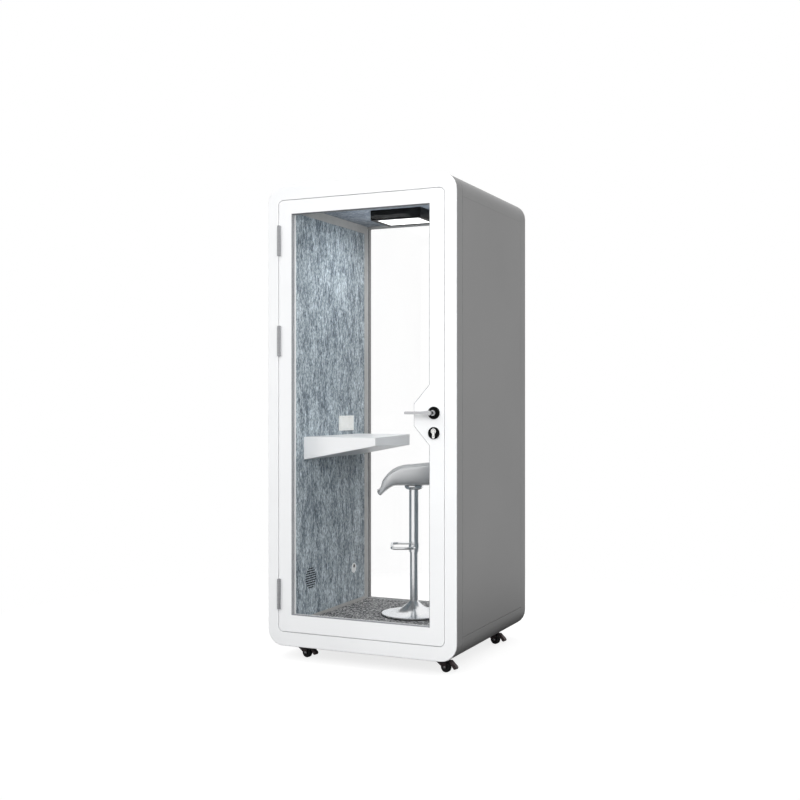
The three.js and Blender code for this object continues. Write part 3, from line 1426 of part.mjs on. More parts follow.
// Casing
place(pod, 'front_frame', frontFrame(), whiteCoat);
place(pod, 'front_hoop', hoop(FRONT_Y + FASCIA, HOOP_BACK_Y), greyCoat);
place(pod, 'rear_frame', rearFrame(), greyCoat);
place(pod, 'roof_shell', edgeChannel(TOP_Z, -1), greyCoat);
place(pod, 'base_shell', baseShell(), greyCoat);
place(pod, 'left_side_panel', sidePanel(-1), greyCoat);
place(pod, 'right_side_panel', sidePanel(1), greyCoat);
place(pod, 'rear_glass', rearGlass(), clearGlass);

// Lining
place(pod, 'floor_board', block(-CORE_X, CORE_X, HOOP_BACK_Y, LINER_Y, BOARD_Z, BOARD_TOP_Z), plywood);
place(pod, 'carpet', block(-FELT_X, FELT_X, HOOP_BACK_Y, LINER_Y, BOARD_TOP_Z, CARPET_Z), carpetPile);
place(pod, 'left_acoustic_core', acousticCore(-1), insulation);
place(pod, 'right_acoustic_core', acousticCore(1), insulation);
place(pod, 'left_felt_panel', ventedFelt(), felt);
place(pod, 'right_felt_panel', feltPanel(1), felt);
place(
  pod, 'ceiling_felt_panel',
  block(-CORE_X, CORE_X, HOOP_BACK_Y, LINER_Y, CEILING_Z, CEILING_Z + FELT), felt,
);
place(pod, 'left_wall_trim', wallTrim(-1), greyTrim);
place(pod, 'right_wall_trim', wallTrim(1), greyTrim);

// Fittings
place(pod, 'lamp_housing', lampHousing(), blackCoat);
place(pod, 'lamp_diffuser', lampDiffuser(), opal);
place(pod, 'fan_housing', fanHousing(), blackCoat);
place(pod, 'fan_rotor', fanRotor(), blackCoat);
place(pod, 'cable_grommet', cableGrommet(), greyPlastic);
place(pod, 'desk_top', deskTop(), whiteCoat);
place(pod, 'switch_plate', switchPlate(), whitePlastic);
const [lightSwitch, fanSwitch] = switchCentres();
place(pod, 'light_switch_rocker', switchRocker(lightSwitch), whitePlastic);
place(pod, 'fan_switch_rocker', switchRocker(fanSwitch), whitePlastic);

// Door
place(pod, 'door_leaf', doorLeaf(), whiteCoat);
place(pod, 'door_glass', doorGlass(), clearGlass);
place(pod, 'door_seal', doorSeal(), blackRubber);
place(pod, 'strike_plate', strikePlate(), satinNickel);
place(pod, 'lock_case', lockCase(), steel);
place(pod, 'latch_bolt', latchBolt(), satinNickel);
place(pod, 'deadbolt', deadbolt(), satinNickel);
place(pod, 'lock_cylinder', lockCylinder(), satinNickel);
place(pod, 'thumbturn', thumbturn(), satinNickel);
place(pod, 'outside_rose', outsideRose(), blackCoat);
place(pod, 'outside_escutcheon', outsideEscutcheon(), blackCoat);
place(pod, 'inside_backplate', insideBackplate(), blackCoat);
place(pod, 'outside_lever', outsideLever(), satinNickel);
place(pod, 'inside_lever', insideLever(), satinNickel);
for (const [name, z] of Object.entries(HINGE_CENTRES)) {
  const hinge = new THREE.Group();
  hinge.position.set(HINGE_X, HINGE_Y, z);
  place(hinge, `hinge_post_${name}`, hingePost(), steel);
  place(hinge, `hinge_leaf_${name}`, hingeLeaf(), steel);
  pod.add(hinge);
}

// Casters
for (const [name, position] of Object.entries(casterPlaces())) {
  const caster = new THREE.Group();
  caster.position.copy(position);
  caster.rotation.z = THREE.MathUtils.degToRad(CASTER_YAW);
  place(caster, `caster_fork_${name}`, casterFork(), brownGreySteel);
  place(caster, `caster_wheel_${name}`, casterWheel(), blackRubber);
  pod.add(caster);
}

// Stool
const stool = new THREE.Group();
stool.position.set(STOOL_X, FRONT_Y + STOOL_SETBACK, CARPET_Z);
stool.rotation.z = THREE.MathUtils.degToRad(STOOL_YAW);
place(stool, 'stool_base', stoolBase(), chrome);
place(stool, 'gas_spring_rod', gasRod(), steel);
place(stool, 'stool_sleeve', stoolSleeve(), chrome);
place(stool, 'stool_footrest', stoolFootrest(), chrome);
place(stool, 'stool_seat', stoolSeat(), seatPlastic);
place(stool, 'lift_lever', liftLever(), chrome);
pod.add(stool);

export default pod;
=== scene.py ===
"""Acoustic office pod: the looks of a one-person booth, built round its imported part. Metres, +Z up."""
import math

import bmesh
import bpy
from mathutils import Euler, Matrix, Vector, noise


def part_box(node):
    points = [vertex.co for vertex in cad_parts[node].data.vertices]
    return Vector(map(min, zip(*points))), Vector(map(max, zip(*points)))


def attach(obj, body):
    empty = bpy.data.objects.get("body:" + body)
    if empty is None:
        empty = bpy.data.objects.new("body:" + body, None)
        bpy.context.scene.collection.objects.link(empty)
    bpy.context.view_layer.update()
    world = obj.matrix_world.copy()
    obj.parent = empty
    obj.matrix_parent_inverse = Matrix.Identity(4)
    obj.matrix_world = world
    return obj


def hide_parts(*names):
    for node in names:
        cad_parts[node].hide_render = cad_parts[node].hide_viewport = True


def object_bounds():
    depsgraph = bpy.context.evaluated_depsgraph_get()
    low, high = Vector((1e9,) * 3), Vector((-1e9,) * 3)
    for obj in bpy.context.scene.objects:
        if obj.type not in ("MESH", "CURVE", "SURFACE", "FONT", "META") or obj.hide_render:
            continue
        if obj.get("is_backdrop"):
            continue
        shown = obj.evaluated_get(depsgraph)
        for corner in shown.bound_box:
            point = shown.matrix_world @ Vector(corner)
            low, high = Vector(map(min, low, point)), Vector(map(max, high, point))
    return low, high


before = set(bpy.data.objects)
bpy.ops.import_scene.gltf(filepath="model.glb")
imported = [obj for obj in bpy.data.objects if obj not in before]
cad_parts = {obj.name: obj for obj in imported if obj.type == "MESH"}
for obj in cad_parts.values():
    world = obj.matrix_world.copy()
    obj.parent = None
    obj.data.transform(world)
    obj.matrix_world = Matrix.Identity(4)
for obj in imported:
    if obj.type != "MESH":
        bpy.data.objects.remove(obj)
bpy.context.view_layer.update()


# Front frame and door leaf
# Folded sheet steel, powder coated satin white: an even, slightly soft gloss with a faint orange peel.
# The frame is the face of the casing. The leaf lies flush in its rebate and holds the pane.
def linear(colour):
    """An sRGB hex colour as linear red, green, blue and alpha."""
    parts = [int(colour[i : i + 2], 16) / 255 for i in (1, 3, 5)]
    return (*[c / 12.92 if c <= 0.04045 else ((c + 0.055) / 1.055) ** 2.4 for c in parts], 1)


def add(tree, kind, links=None, **settings):
    """Adds a node with its settings; links gives its inputs, as values or as other nodes' outputs."""
    made = tree.nodes.new(kind)
    for key, value in settings.items():
        setattr(made, key, value)
    for key, value in (links or {}).items():
        if isinstance(value, bpy.types.NodeSocket):
            tree.links.new(value, made.inputs[key])
        else:
            made.inputs[key].default_value = value
    return made


def new_finish(name):
    """A material, its node tree, its shader and the place on the piece in metres."""
    made = bpy.data.materials.new(name)
    made.use_nodes = True
    tree = made.node_tree
    return made, tree, tree.nodes["Principled BSDF"], add(tree, "ShaderNodeTexCoord").outputs["Object"]


def ramp(tree, value, *stops):
    """A colour ramp over value, as (place, hex colour) stops."""
    made = add(tree, "ShaderNodeValToRGB", {"Fac": value})
    while len(made.color_ramp.elements) < len(stops):
        made.color_ramp.elements.new(0.5)
    for element, (place, colour) in zip(made.color_ramp.elements, stops):
        element.position = place
        element.color = linear(colour)
    return made.outputs["Color"]


smooth_edges = bpy.data.node_groups.new("smooth_edges", "GeometryNodeTree")
smooth_edges.interface.new_socket("Mesh", in_out="INPUT", socket_type="NodeSocketGeometry")
smooth_edges.interface.new_socket("Mesh", in_out="OUTPUT", socket_type="NodeSocketGeometry")
edge_angle = add(smooth_edges, "GeometryNodeInputMeshEdgeAngle")
sharp = add(
    smooth_edges, "FunctionNodeCompare",
    {0: edge_angle.outputs["Unsigned Angle"], 1: math.radians(33)}, operation="GREATER_THAN",
)
shaded = add(
    smooth_edges, "GeometryNodeSetMeshNormal",
    {
        "Mesh": add(smooth_edges, "NodeGroupInput").outputs[0],
        "Remove Custom": True,
        "Edge Sharpness": sharp.outputs[0],
        "Face Sharpness": False,
    },
    mode="SHARPNESS",
)
add(smooth_edges, "NodeGroupOutput", {0: shaded.outputs[0]})


def soften(piece, edge):
    """Rounds a rigid piece's sharp edges to that radius and shades its curved faces smoothly."""
    weld = piece.modifiers.new("weld", "WELD")
    weld.merge_threshold = 1e-5
    flat = piece.modifiers.new("flat_faces", "DECIMATE")
    flat.decimate_type = "DISSOLVE"
    flat.angle_limit = math.radians(0.5)
    piece.modifiers.new("even_faces", "TRIANGULATE")
    if edge:
        rounding = piece.modifiers.new("edge", "BEVEL")
        rounding.width = edge
        rounding.segments = 2
        rounding.limit_method = "ANGLE"
        rounding.angle_limit = math.radians(34)
        rounding.miter_outer = "MITER_ARC"
    piece.modifiers.new("shading", "NODES").node_group = smooth_edges
    if edge:
        level = piece.modifiers.new("flat_shading", "WEIGHTED_NORMAL")
        level.mode = "FACE_AREA_WITH_ANGLE"
        level.weight = 100
        level.keep_sharp = True


def coat(finish, edge, *names):
    """Gives CAD nodes their finish and soft edges."""
    for name in names:
        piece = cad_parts[name]
        piece.data.materials.clear()
        piece.data.materials.append(finish)
        soften(piece, edge)


white_coat, tree, shader, place = new_finish("white_powder_coat")
WHITE_PEEL = 0.004  # orange peel is about 1 mm across; drawn at 4 mm so that it shows
cloud = add(tree, "ShaderNodeTexNoise", {"Vector": place, "Scale": 2.5, "Detail": 3})
peel = add(tree, "ShaderNodeTexNoise", {"Vector": place, "Scale": 1 / WHITE_PEEL, "Detail": 2})
tree.links.new(ramp(tree, cloud.outputs["Fac"], (0.3, "#f1f2f3"), (0.7, "#f6f7f8")), shader.inputs["Base Color"])
bump = add(tree, "ShaderNodeBump", {"Height": peel.outputs["Fac"], "Strength": 0.05, "Distance": 0.0003})
tree.links.new(bump.outputs["Normal"], shader.inputs["Normal"])
shader.inputs["Roughness"].default_value = 0.36
coat(white_coat, 0.0006, "front_frame", "door_leaf")


# Side skins, hoops, roof and floor pan
# Sheet steel on stiff board with a fine-textured matt grey powder coat: a dull sheen that brightens where
# the rounded edges turn away. The skins butt against hoops and pan; a jointing strip closes the roof seam.
def new_piece(name, points, faces, finish, body):
    """A mesh piece in the row frame, with its finish, that moves with a body."""
    mesh = bpy.data.meshes.new(name)
    mesh.from_pydata([tuple(p) for p in points], [], faces)
    shell = bmesh.new()
    shell.from_mesh(mesh)
    bmesh.ops.recalc_face_normals(shell, faces=shell.faces)
    shell.to_mesh(mesh)
    shell.free()
    piece = bpy.data.objects.new(name, mesh)
    bpy.context.scene.collection.objects.link(piece)
    mesh.materials.append(finish)
    for face in mesh.polygons:
        face.use_smooth = True
    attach(piece, body)
    return piece


def tube(loops, closed=False):
    """Points and faces of a skin over loops of equal length; its ends are joined up or capped."""
    count = len(loops[0])
    points = [p for loop in loops for p in loop]
    faces = []
    for i in range(len(loops) if closed else len(loops) - 1):
        here, there = i * count, (i + 1) % len(loops) * count
        for k in range(count):
            n = (k + 1) % count
            faces.append((here + k, here + n, there + n, there + k))
    if not closed:
        faces.append(tuple(range(count)))
        faces.append(tuple(range(len(points) - count, len(points))))
    return points, faces


grey_coat, tree, shader, place = new_finish("grey_textured_powder_coat")
GREY_GRIT = 0.005  # the coat's grit is under 1 mm; drawn at 5 mm so that it shows
cloud = add(tree, "ShaderNodeTexNoise", {"Vector": place, "Scale": 1.6, "Detail": 4})
grit = add(tree, "ShaderNodeTexNoise", {"Vector": place, "Scale": 1 / GREY_GRIT, "Detail": 3, "Roughness": 0.7})
base = ramp(tree, cloud.outputs["Fac"], (0.3, "#767676"), (0.7, "#7c7c7c"))
speckle = ramp(tree, grit.outputs["Fac"], (0.35, "#e6e6e6"), (0.65, "#ffffff"))
mixed = add(tree, "ShaderNodeMix", {0: 1.0, 6: base, 7: speckle}, data_type="RGBA", blend_type="MULTIPLY")
tree.links.new(mixed.outputs[2], shader.inputs["Base Color"])
bump = add(tree, "ShaderNodeBump", {"Height": grit.outputs["Fac"], "Strength": 0.12, "Distance": 0.0004})
tree.links.new(bump.outputs["Normal"], shader.inputs["Normal"])
shader.inputs["Roughness"].default_value = 0.45
coat(grey_coat, 0.001, "front_hoop", "rear_frame", "base_shell")
coat(grey_coat, 0.0003, "roof_shell", "left_side_panel", "right_side_panel")

for name, side in (("left", -1), ("right", 1)):
    skin_low, skin_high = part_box(f"{name}_side_panel")
    face = side * max(abs(skin_low.x), abs(skin_high.x))
    STRIP_GAP = 0.0015  # width of the roof seam
    STRIP_DEPTH = 0.008
    section = [(0.0004, 0.02), (0.00015, 0.3), (0.0001, 0.5), (0.00015, 0.7), (0.0004, 0.98)]
    section += [(STRIP_DEPTH, 0.98), (STRIP_DEPTH, 0.02)]
    loops = [
        [(face - side * inset, y, skin_high.z + STRIP_GAP * up) for inset, up in section]
        for y in (skin_low.y, (skin_low.y + skin_high.y) / 2, skin_high.y)
    ]
    soften(new_piece(f"roof_jointing_strip_{name}", *tube(loops), grey_coat, "pod"), 0)


# Panes of the door and the back
# Clear laminated glass with a low-reflection coat, held in a groove all round: nearly invisible face on.
# Rubber gaskets line its edge, grey outside and pale inside; the door's follow the slanted lock panel.
clear_glass, tree, shader, place = new_finish("clear_laminated_glass")
wiping = add(tree, "ShaderNodeMapping", {"Vector": place, "Scale": (3, 3, 0.8)}).outputs["Vector"]
wipe = add(tree, "ShaderNodeTexNoise", {"Vector": wiping, "Scale": 2, "Detail": 4, "Distortion": 1.2})
rough = add(tree, "ShaderNodeMapRange", {0: wipe.outputs["Fac"], 1: 0.45, 2: 0.75, 3: 0.0, 4: 0.02})
tree.links.new(rough.outputs[0], shader.inputs["Roughness"])
shader.inputs["Base Color"].default_value = linear("#ffffff")
shader.inputs["Transmission Weight"].default_value = 1
shader.inputs["IOR"].default_value = 1.5
path = add(tree, "ShaderNodeLightPath")
passing = add(
    tree, "ShaderNodeMath",
    {0: path.outputs["Is Shadow Ray"], 1: path.outputs["Is Diffuse Ray"]}, operation="MAXIMUM",
)
coating = add(tree, "ShaderNodeMapRange", {0: wipe.outputs["Fac"], 1: 0.45, 2: 0.75, 3: 0.985, 4: 0.965})
clear = add(tree, "ShaderNodeMath", {0: passing.outputs[0], 1: coating.outputs[0]}, operation="MAXIMUM")
through = add(tree, "ShaderNodeBsdfTransparent", {"Color": linear("#ffffff")})
panes = add(
    tree, "ShaderNodeMixShader",
    {0: clear.outputs[0], 1: shader.outputs["BSDF"], 2: through.outputs["BSDF"]},
)
tree.links.new(panes.outputs["Shader"], tree.nodes["Material Output"].inputs["Surface"])
coat(clear_glass, 0, "door_glass", "rear_glass")

gasket_finishes = {}
for name, dark, light in (("grey_gasket_rubber", "#84868a", "#96989b"), ("pale_gasket_rubber", "#bcbebf", "#cfd1d2")):
    gasket_finishes[name], tree, shader, place = new_finish(name)
    bloom = add(tree, "ShaderNodeTexNoise", {"Vector": place, "Scale": 80, "Detail": 4})
    tree.links.new(ramp(tree, bloom.outputs["Fac"], (0.3, dark), (0.7, light)), shader.inputs["Base Color"])
    shader.inputs["Roughness"].default_value = 0.6

GASKET_WIDTH = 0.0032
GASKET_HEIGHT = 0.0055


def gasket(name, outline, pane_y, outward, body, finish):
    """A strip along a pane's edge: outline is the opening in X and Z, counted anticlockwise from the front."""
    section = [
        (0.0002, 0), (0.0002, GASKET_HEIGHT), (GASKET_WIDTH * 0.4, GASKET_HEIGHT),
        (GASKET_WIDTH * 0.85, GASKET_HEIGHT * 0.55), (GASKET_WIDTH, 0.0006), (GASKET_WIDTH, 0),
    ]
    loops = []
    for k, corner in enumerate(outline):
        here = Vector(corner)
        run_in = (here - Vector(outline[k - 1])).normalized()
        run_out = (Vector(outline[(k + 1) % len(outline)]) - here).normalized()
        inward = Vector((-run_in.y - run_out.y, run_in.x + run_out.x)).normalized()
        stretch = 1 / inward.dot(Vector((-run_in.y, run_in.x)))
        loop = []
        for inset, rise in section:
            at = here + inward * inset * stretch
            loop.append((at.x, pane_y + outward * (rise + 0.0001), at.y))
        loops.append(loop)
    soften(new_piece(name, *tube(loops, closed=True), gasket_finishes[finish], body), 0.0003)


DOOR_PANE = (0.368, 0.226, 2.192)  # half width, foot and head of the opening
PANEL_EDGE, PANEL_MIDDLE, PANEL_INNER, PANEL_OUTER = 0.290, 1.210, 0.051, 0.140
half, foot, head = DOOR_PANE
door_opening = [
    (-half, foot), (half, foot), (half, PANEL_MIDDLE - PANEL_OUTER), (PANEL_EDGE, PANEL_MIDDLE - PANEL_INNER),
    (PANEL_EDGE, PANEL_MIDDLE + PANEL_INNER), (half, PANEL_MIDDLE + PANEL_OUTER), (half, head), (-half, head),
]
pane_low, pane_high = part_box("door_glass")
gasket("door_gasket_outside", door_opening, pane_low.y, -1, "door", "grey_gasket_rubber")
gasket("door_gasket_inside", door_opening, pane_high.y, 1, "door", "pale_gasket_rubber")
leaf_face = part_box("door_leaf")[0].y
gasket("door_edge_bead", door_opening, leaf_face + GASKET_HEIGHT, -1, "door", "grey_gasket_rubber")

BACK_PANE = (0.424, 0.156, 2.254)
BACK_CORNER = 0.005
half, foot, head = BACK_PANE
back_opening = []
for x, z, start in ((half, foot, 270), (half, head, 0), (-half, head, 90), (-half, foot, 180)):
    centre = (x - math.copysign(BACK_CORNER, x), z + (BACK_CORNER if z == foot else -BACK_CORNER))
    for step in range(9):
        turn = math.radians(start + 90 * step / 8)
        back_opening.append((centre[0] + BACK_CORNER * math.cos(turn), centre[1] + BACK_CORNER * math.sin(turn)))
pane_low, pane_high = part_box("rear_glass")
gasket("back_gasket_inside", back_opening, pane_low.y, -1, "pod", "pale_gasket_rubber")
gasket("back_gasket_outside", back_opening, pane_high.y, 1, "pod", "grey_gasket_rubber")


# Felt wall panels and ceiling
# Pressed recycled polyester felt, blue-grey, with light and dark fibres carded into upright streaks.
# The panels are held by the flat grey trim frames; the ceiling panel lies on the trims.
def felt_finish(name, shade, light, dark, along):
    """Carded felt: streaks run along the given axis, in patches, with flecks of single fibres."""
    made, tree, shader, place = new_finish(name)
    PATCH = 0.055  # width of a patch where the carding lies lighter or darker
    STREAK = 0.009  # width of a streak of carded fibres
    FIBRE = 0.0035  # single fibres are thinner; drawn at 3.5 mm so that they show
    stretch = [1.0, 1.0, 1.0]
    stretch[along] = 0.28
    lay = add(tree, "ShaderNodeMapping", {"Vector": place, "Scale": stretch}).outputs["Vector"]
    patch = add(tree, "ShaderNodeTexNoise", {"Vector": lay, "Scale": 1 / PATCH, "Detail": 3, "Roughness": 0.6})
    streak = add(
        tree, "ShaderNodeTexNoise",
        {"Vector": lay, "Scale": 1 / STREAK, "Detail": 4, "Roughness": 0.62, "Distortion": 0.8},
    )
    fibre = add(tree, "ShaderNodeTexNoise", {"Vector": lay, "Scale": 1 / FIBRE, "Detail": 2, "Roughness": 0.6})
    both = add(
        tree, "ShaderNodeMix", {0: 0.3, 2: streak.outputs["Fac"], 3: patch.outputs["Fac"]}, data_type="FLOAT",
    )
    body = ramp(tree, both.outputs[0], (0.41, dark), (0.5, shade), (0.59, light))
    fleck = ramp(tree, fibre.outputs["Fac"], (0.34, "#757d85"), (0.5, "#d6d9dc"), (0.62, "#ffffff"))
    mixed = add(tree, "ShaderNodeMix", {0: 0.9, 6: body, 7: fleck}, data_type="RGBA", blend_type="MULTIPLY")
    tree.links.new(mixed.outputs[2], shader.inputs["Base Color"])
    bump = add(tree, "ShaderNodeBump", {"Height": fibre.outputs["Fac"], "Strength": 0.5, "Distance": 0.0012})
    tree.links.new(bump.outputs["Normal"], shader.inputs["Normal"])
    shader.inputs["Roughness"].default_value = 0.95
    shader.inputs["Specular IOR Level"].default_value = 0.15
    shader.inputs["Sheen Weight"].default_value = 0.15
    shader.inputs["Sheen Roughness"].default_value = 0.6
    return made


wall_felt = felt_finish("carded_wall_felt", "#b2bec5", "#e4eef3", "#6b7883", along=2)
# The ceiling gets a darker copy of the wall felt: its colours are painted shade for the dim, downward-facing ceiling.
ceiling_felt = felt_finish("carded_felt_painted_darker_for_ceiling", "#8f99a5", "#aab4bf", "#687381", along=0)
coat(wall_felt, 0.0015, "left_felt_panel", "right_felt_panel")
coat(ceiling_felt, 0.0015, "ceiling_felt_panel")

trim_grey, tree, shader, place = new_finish("matt_grey_trim")
cloud = add(tree, "ShaderNodeTexNoise", {"Vector": place, "Scale": 14, "Detail": 4})
tree.links.new(ramp(tree, cloud.outputs["Fac"], (0.3, "#acacaa"), (0.7, "#b7b7b5")), shader.inputs["Base Color"])
shader.inputs["Roughness"].default_value = 0.55
coat(trim_grey, 0.0015, "left_wall_trim", "right_wall_trim")


# Acoustic cores and floor board
# Mineral wool bats between skin and felt, and a plywood board on the joists. All of it is closed in, so
# it shows only at the vent and the cable hole.
wool, tree, shader, place = new_finish("mineral_wool")
strands = add(tree, "ShaderNodeTexNoise", {"Vector": place, "Scale": 160, "Detail": 5, "Roughness": 0.7})
tree.links.new(ramp(tree, strands.outputs["Fac"], (0.35, "#2c2d2f"), (0.65, "#5b5d60")), shader.inputs["Base Color"])
shader.inputs["Roughness"].default_value = 1.0
coat(wool, 0, "left_acoustic_core", "right_acoustic_core")

plywood, tree, shader, place = new_finish("birch_plywood")
grain_lay = add(tree, "ShaderNodeMapping", {"Vector": place, "Scale": (90, 6, 90)}).outputs["Vector"]
grain = add(tree, "ShaderNodeTexNoise", {"Vector": grain_lay, "Scale": 1, "Detail": 5})
tree.links.new(ramp(tree, grain.outputs["Fac"], (0.3, "#a98555"), (0.7, "#c9a877")), shader.inputs["Base Color"])
shader.inputs["Roughness"].default_value = 0.7
coat(plywood, 0, "floor_board")


# Carpet
# Short loop pile in salt-and-pepper greys, laid on the floor board. Each loop stands a little higher or
# lower than the next, so the surface is grainy from above and its edge is not quite straight.
loop_pile, tree, shader, place = new_finish("speckled_loop_pile")
LOOP = 0.0075  # pitch of the loops
cells = add(tree, "ShaderNodeTexVoronoi", {"Vector": place, "Scale": 1 / LOOP, "Randomness": 0.9})
shade_of_loop = add(tree, "ShaderNodeSeparateColor", {"Color": cells.outputs["Color"]})
yarn = ramp(
    tree, shade_of_loop.outputs["Red"],
    (0.0, "#434345"), (0.3, "#6b6b6d"), (0.6, "#9d9d9e"), (0.86, "#c9c9c9"), (1.0, "#f2f2f0"),
)
tree.links.new(yarn, shader.inputs["Base Color"])
bump = add(
    tree, "ShaderNodeBump", {"Height": cells.outputs["Distance"], "Strength": 0.8, "Distance": 0.003}, invert=True,
)
tree.links.new(bump.outputs["Normal"], shader.inputs["Normal"])
shader.inputs["Roughness"].default_value = 1.0
shader.inputs["Specular IOR Level"].default_value = 0.1

low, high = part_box("carpet")
across = round((high.x - low.x) / LOOP)
deep = round((high.y - low.y) / LOOP)
points = []
for j in range(deep + 1):
    for i in range(across + 1):
        x = low.x + (high.x - low.x) * i / across
        y = low.y + (high.y - low.y) * j / deep
        nap = noise.noise(Vector((x * 260, y * 260, 0.5))) * 0.0008
        points.append((x, y, high.z - 0.0009 + nap))
faces = []
for j in range(deep):
    for i in range(across):
        a = j * (across + 1) + i
        faces.append((a, a + 1, a + across + 2, a + across + 1))
rim = [i for i in range(across + 1)]
rim += [(across + 1) * j + across for j in range(1, deep + 1)]
rim += [(across + 1) * deep + i for i in range(across - 1, -1, -1)]
rim += [(across + 1) * j for j in range(deep - 1, 0, -1)]
first_foot = len(points)
points += [(points[i][0], points[i][1], low.z) for i in rim]
for k in range(len(rim)):
    n = (k + 1) % len(rim)
    faces.append((rim[n], rim[k], first_foot + k, first_foot + n))
faces.append(tuple(range(first_foot + len(rim) - 1, first_foot - 1, -1)))
carpet = new_piece("carpet_pile", points, faces, loop_pile, "pod")
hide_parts("carpet")


# Ceiling lamp
# A shallow box frame of satin black aluminium with an opal acrylic plate, lit from behind. The plate
# glows evenly white and throws a soft light down the walls.
satin_black, tree, shader, place = new_finish("satin_black_coat")
grain = add(tree, "ShaderNodeTexNoise", {"Vector": place, "Scale": 300, "Detail": 3})
tree.links.new(ramp(tree, grain.outputs["Fac"], (0.3, "#020202"), (0.7, "#060606")), shader.inputs["Base Color"])
bump = add(tree, "ShaderNodeBump", {"Height": grain.outputs["Fac"], "Strength": 0.08, "Distance": 0.0003})
tree.links.new(bump.outputs["Normal"], shader.inputs["Normal"])
shader.inputs["Roughness"].default_value = 0.5
shader.inputs["Specular IOR Level"].default_value = 0.08
coat(satin_black, 0.001, "lamp_housing", "fan_housing", "fan_rotor")
coat(satin_black, 0.0008, "outside_rose", "outside_escutcheon", "inside_backplate")

# Black dust screens fill the vent's slots just behind the felt face; set so close to the face, their black also
# paints the shade inside the slots.
VENT_AT = (-0.219, 0.370)  # middle of the vent in Y and Z
VENT_RADIUS, SLOT_PITCH, SLOT_HEIGHT, SLOT_COUNT = 0.055, 0.012, 0.006, 9
FELT_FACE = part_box("left_felt_panel")[1].x
points, faces = [], []
for row in range(SLOT_COUNT):
    rise = (row - (SLOT_COUNT - 1) / 2) * SLOT_PITCH
    half = math.sqrt(VENT_RADIUS**2 - rise**2) - SLOT_HEIGHT / 2
    loops = []
    for depth, inset in ((0.0001, 0.0003), (0.0004, 0.0001), (0.0022, 0.0001)):
        loop = []
        for end in (1, -1):
            for step in range(7):
                turn = math.pi * (step / 6 - 0.5) + (0 if end == 1 else math.pi)
                radius = SLOT_HEIGHT / 2 - inset
                y = VENT_AT[0] + end * half + radius * math.cos(turn)
                loop.append((FELT_FACE - depth, y, VENT_AT[1] + rise + radius * math.sin(turn)))
        loops.append(loop)
    strip_points, strip_faces = tube(loops)
    faces += [tuple(len(points) + k for k in face) for face in strip_faces]
    points += strip_points
soften(new_piece("vent_dust_screen_with_painted_slot_shade", points, faces, satin_black, "pod"), 0)

opal, tree, shader, place = new_finish("lit_opal_acrylic")
glow = add(tree, "ShaderNodeTexNoise", {"Vector": place, "Scale": 9, "Detail": 1})
shader.inputs["Base Color"].default_value = linear("#f7f7f7")
shader.inputs["Roughness"].default_value = 0.4
tree.links.new(
    ramp(tree, glow.outputs["Fac"], (0.2, "#fbfbfa"), (0.8, "#ffffff")), shader.inputs["Emission Color"],
)
shader.inputs["Emission Strength"].default_value = 1.3
coat(opal, 0.0008, "lamp_diffuser")


# Wall desk and switches
# The desk is a folded steel shell, coated white like the door, fixed to the left wall and slanted at its
# free end. The switch plate and its rockers above it are moulded from glossy white plastic.
coat(white_coat, 0.0025, "desk_top")

white_plastic, tree, shader, place = new_finish("moulded_white_plastic")
flow = add(tree, "ShaderNodeTexNoise", {"Vector": place, "Scale": 40, "Detail": 3})
tree.links.new(ramp(tree, flow.outputs["Fac"], (0.3, "#eeeeea"), (0.7, "#f6f6f3")), shader.inputs["Base Color"])
shader.inputs["Roughness"].default_value = 0.28
coat(white_plastic, 0.0012, "switch_plate", "light_switch_rocker", "fan_switch_rocker")

pale_plastic, tree, shader, place = new_finish("moulded_pale_plastic")
flow = add(tree, "ShaderNodeTexNoise", {"Vector": place, "Scale": 60, "Detail": 3})
tree.links.new(ramp(tree, flow.outputs["Fac"], (0.3, "#eceeee"), (0.7, "#f4f6f6")), shader.inputs["Base Color"])
shader.inputs["Roughness"].default_value = 0.4
coat(pale_plastic, 0.0008, "cable_grommet")

grommet_low, grommet_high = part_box("cable_grommet")
CABLE_AT = ((grommet_low.y + grommet_high.y) / 2, (grommet_low.z + grommet_high.z) / 2 + 0.011)
rubber, tree, shader, place = new_finish("black_rubber")
dust = add(tree, "ShaderNodeTexNoise", {"Vector": place, "Scale": 90, "Detail": 5})
tree.links.new(ramp(tree, dust.outputs["Fac"], (0.35, "#0f0f10"), (0.75, "#212122")), shader.inputs["Base Color"])
shader.inputs["Roughness"].default_value = 0.65
shader.inputs["Specular IOR Level"].default_value = 0.3
face, back = grommet_high.x, grommet_low.x
loops = []
for step in range(32):
    turn = math.tau * step / 32
    loop = []
    for x, radius in (
        (face + 0.0007, 0.0079), (face + 0.0007, 0.0092), (face + 0.0002, 0.0097), (face + 0.0001, 0.0083),
        (back + 0.0005, 0.0083), (back + 0.0005, 0.0079),
    ):
        loop.append((x, CABLE_AT[0] + radius * math.cos(turn), CABLE_AT[1] + radius * math.sin(turn)))
    loops.append(loop)
soften(new_piece("cable_bush", *tube(loops, closed=True), rubber, "pod"), 0)


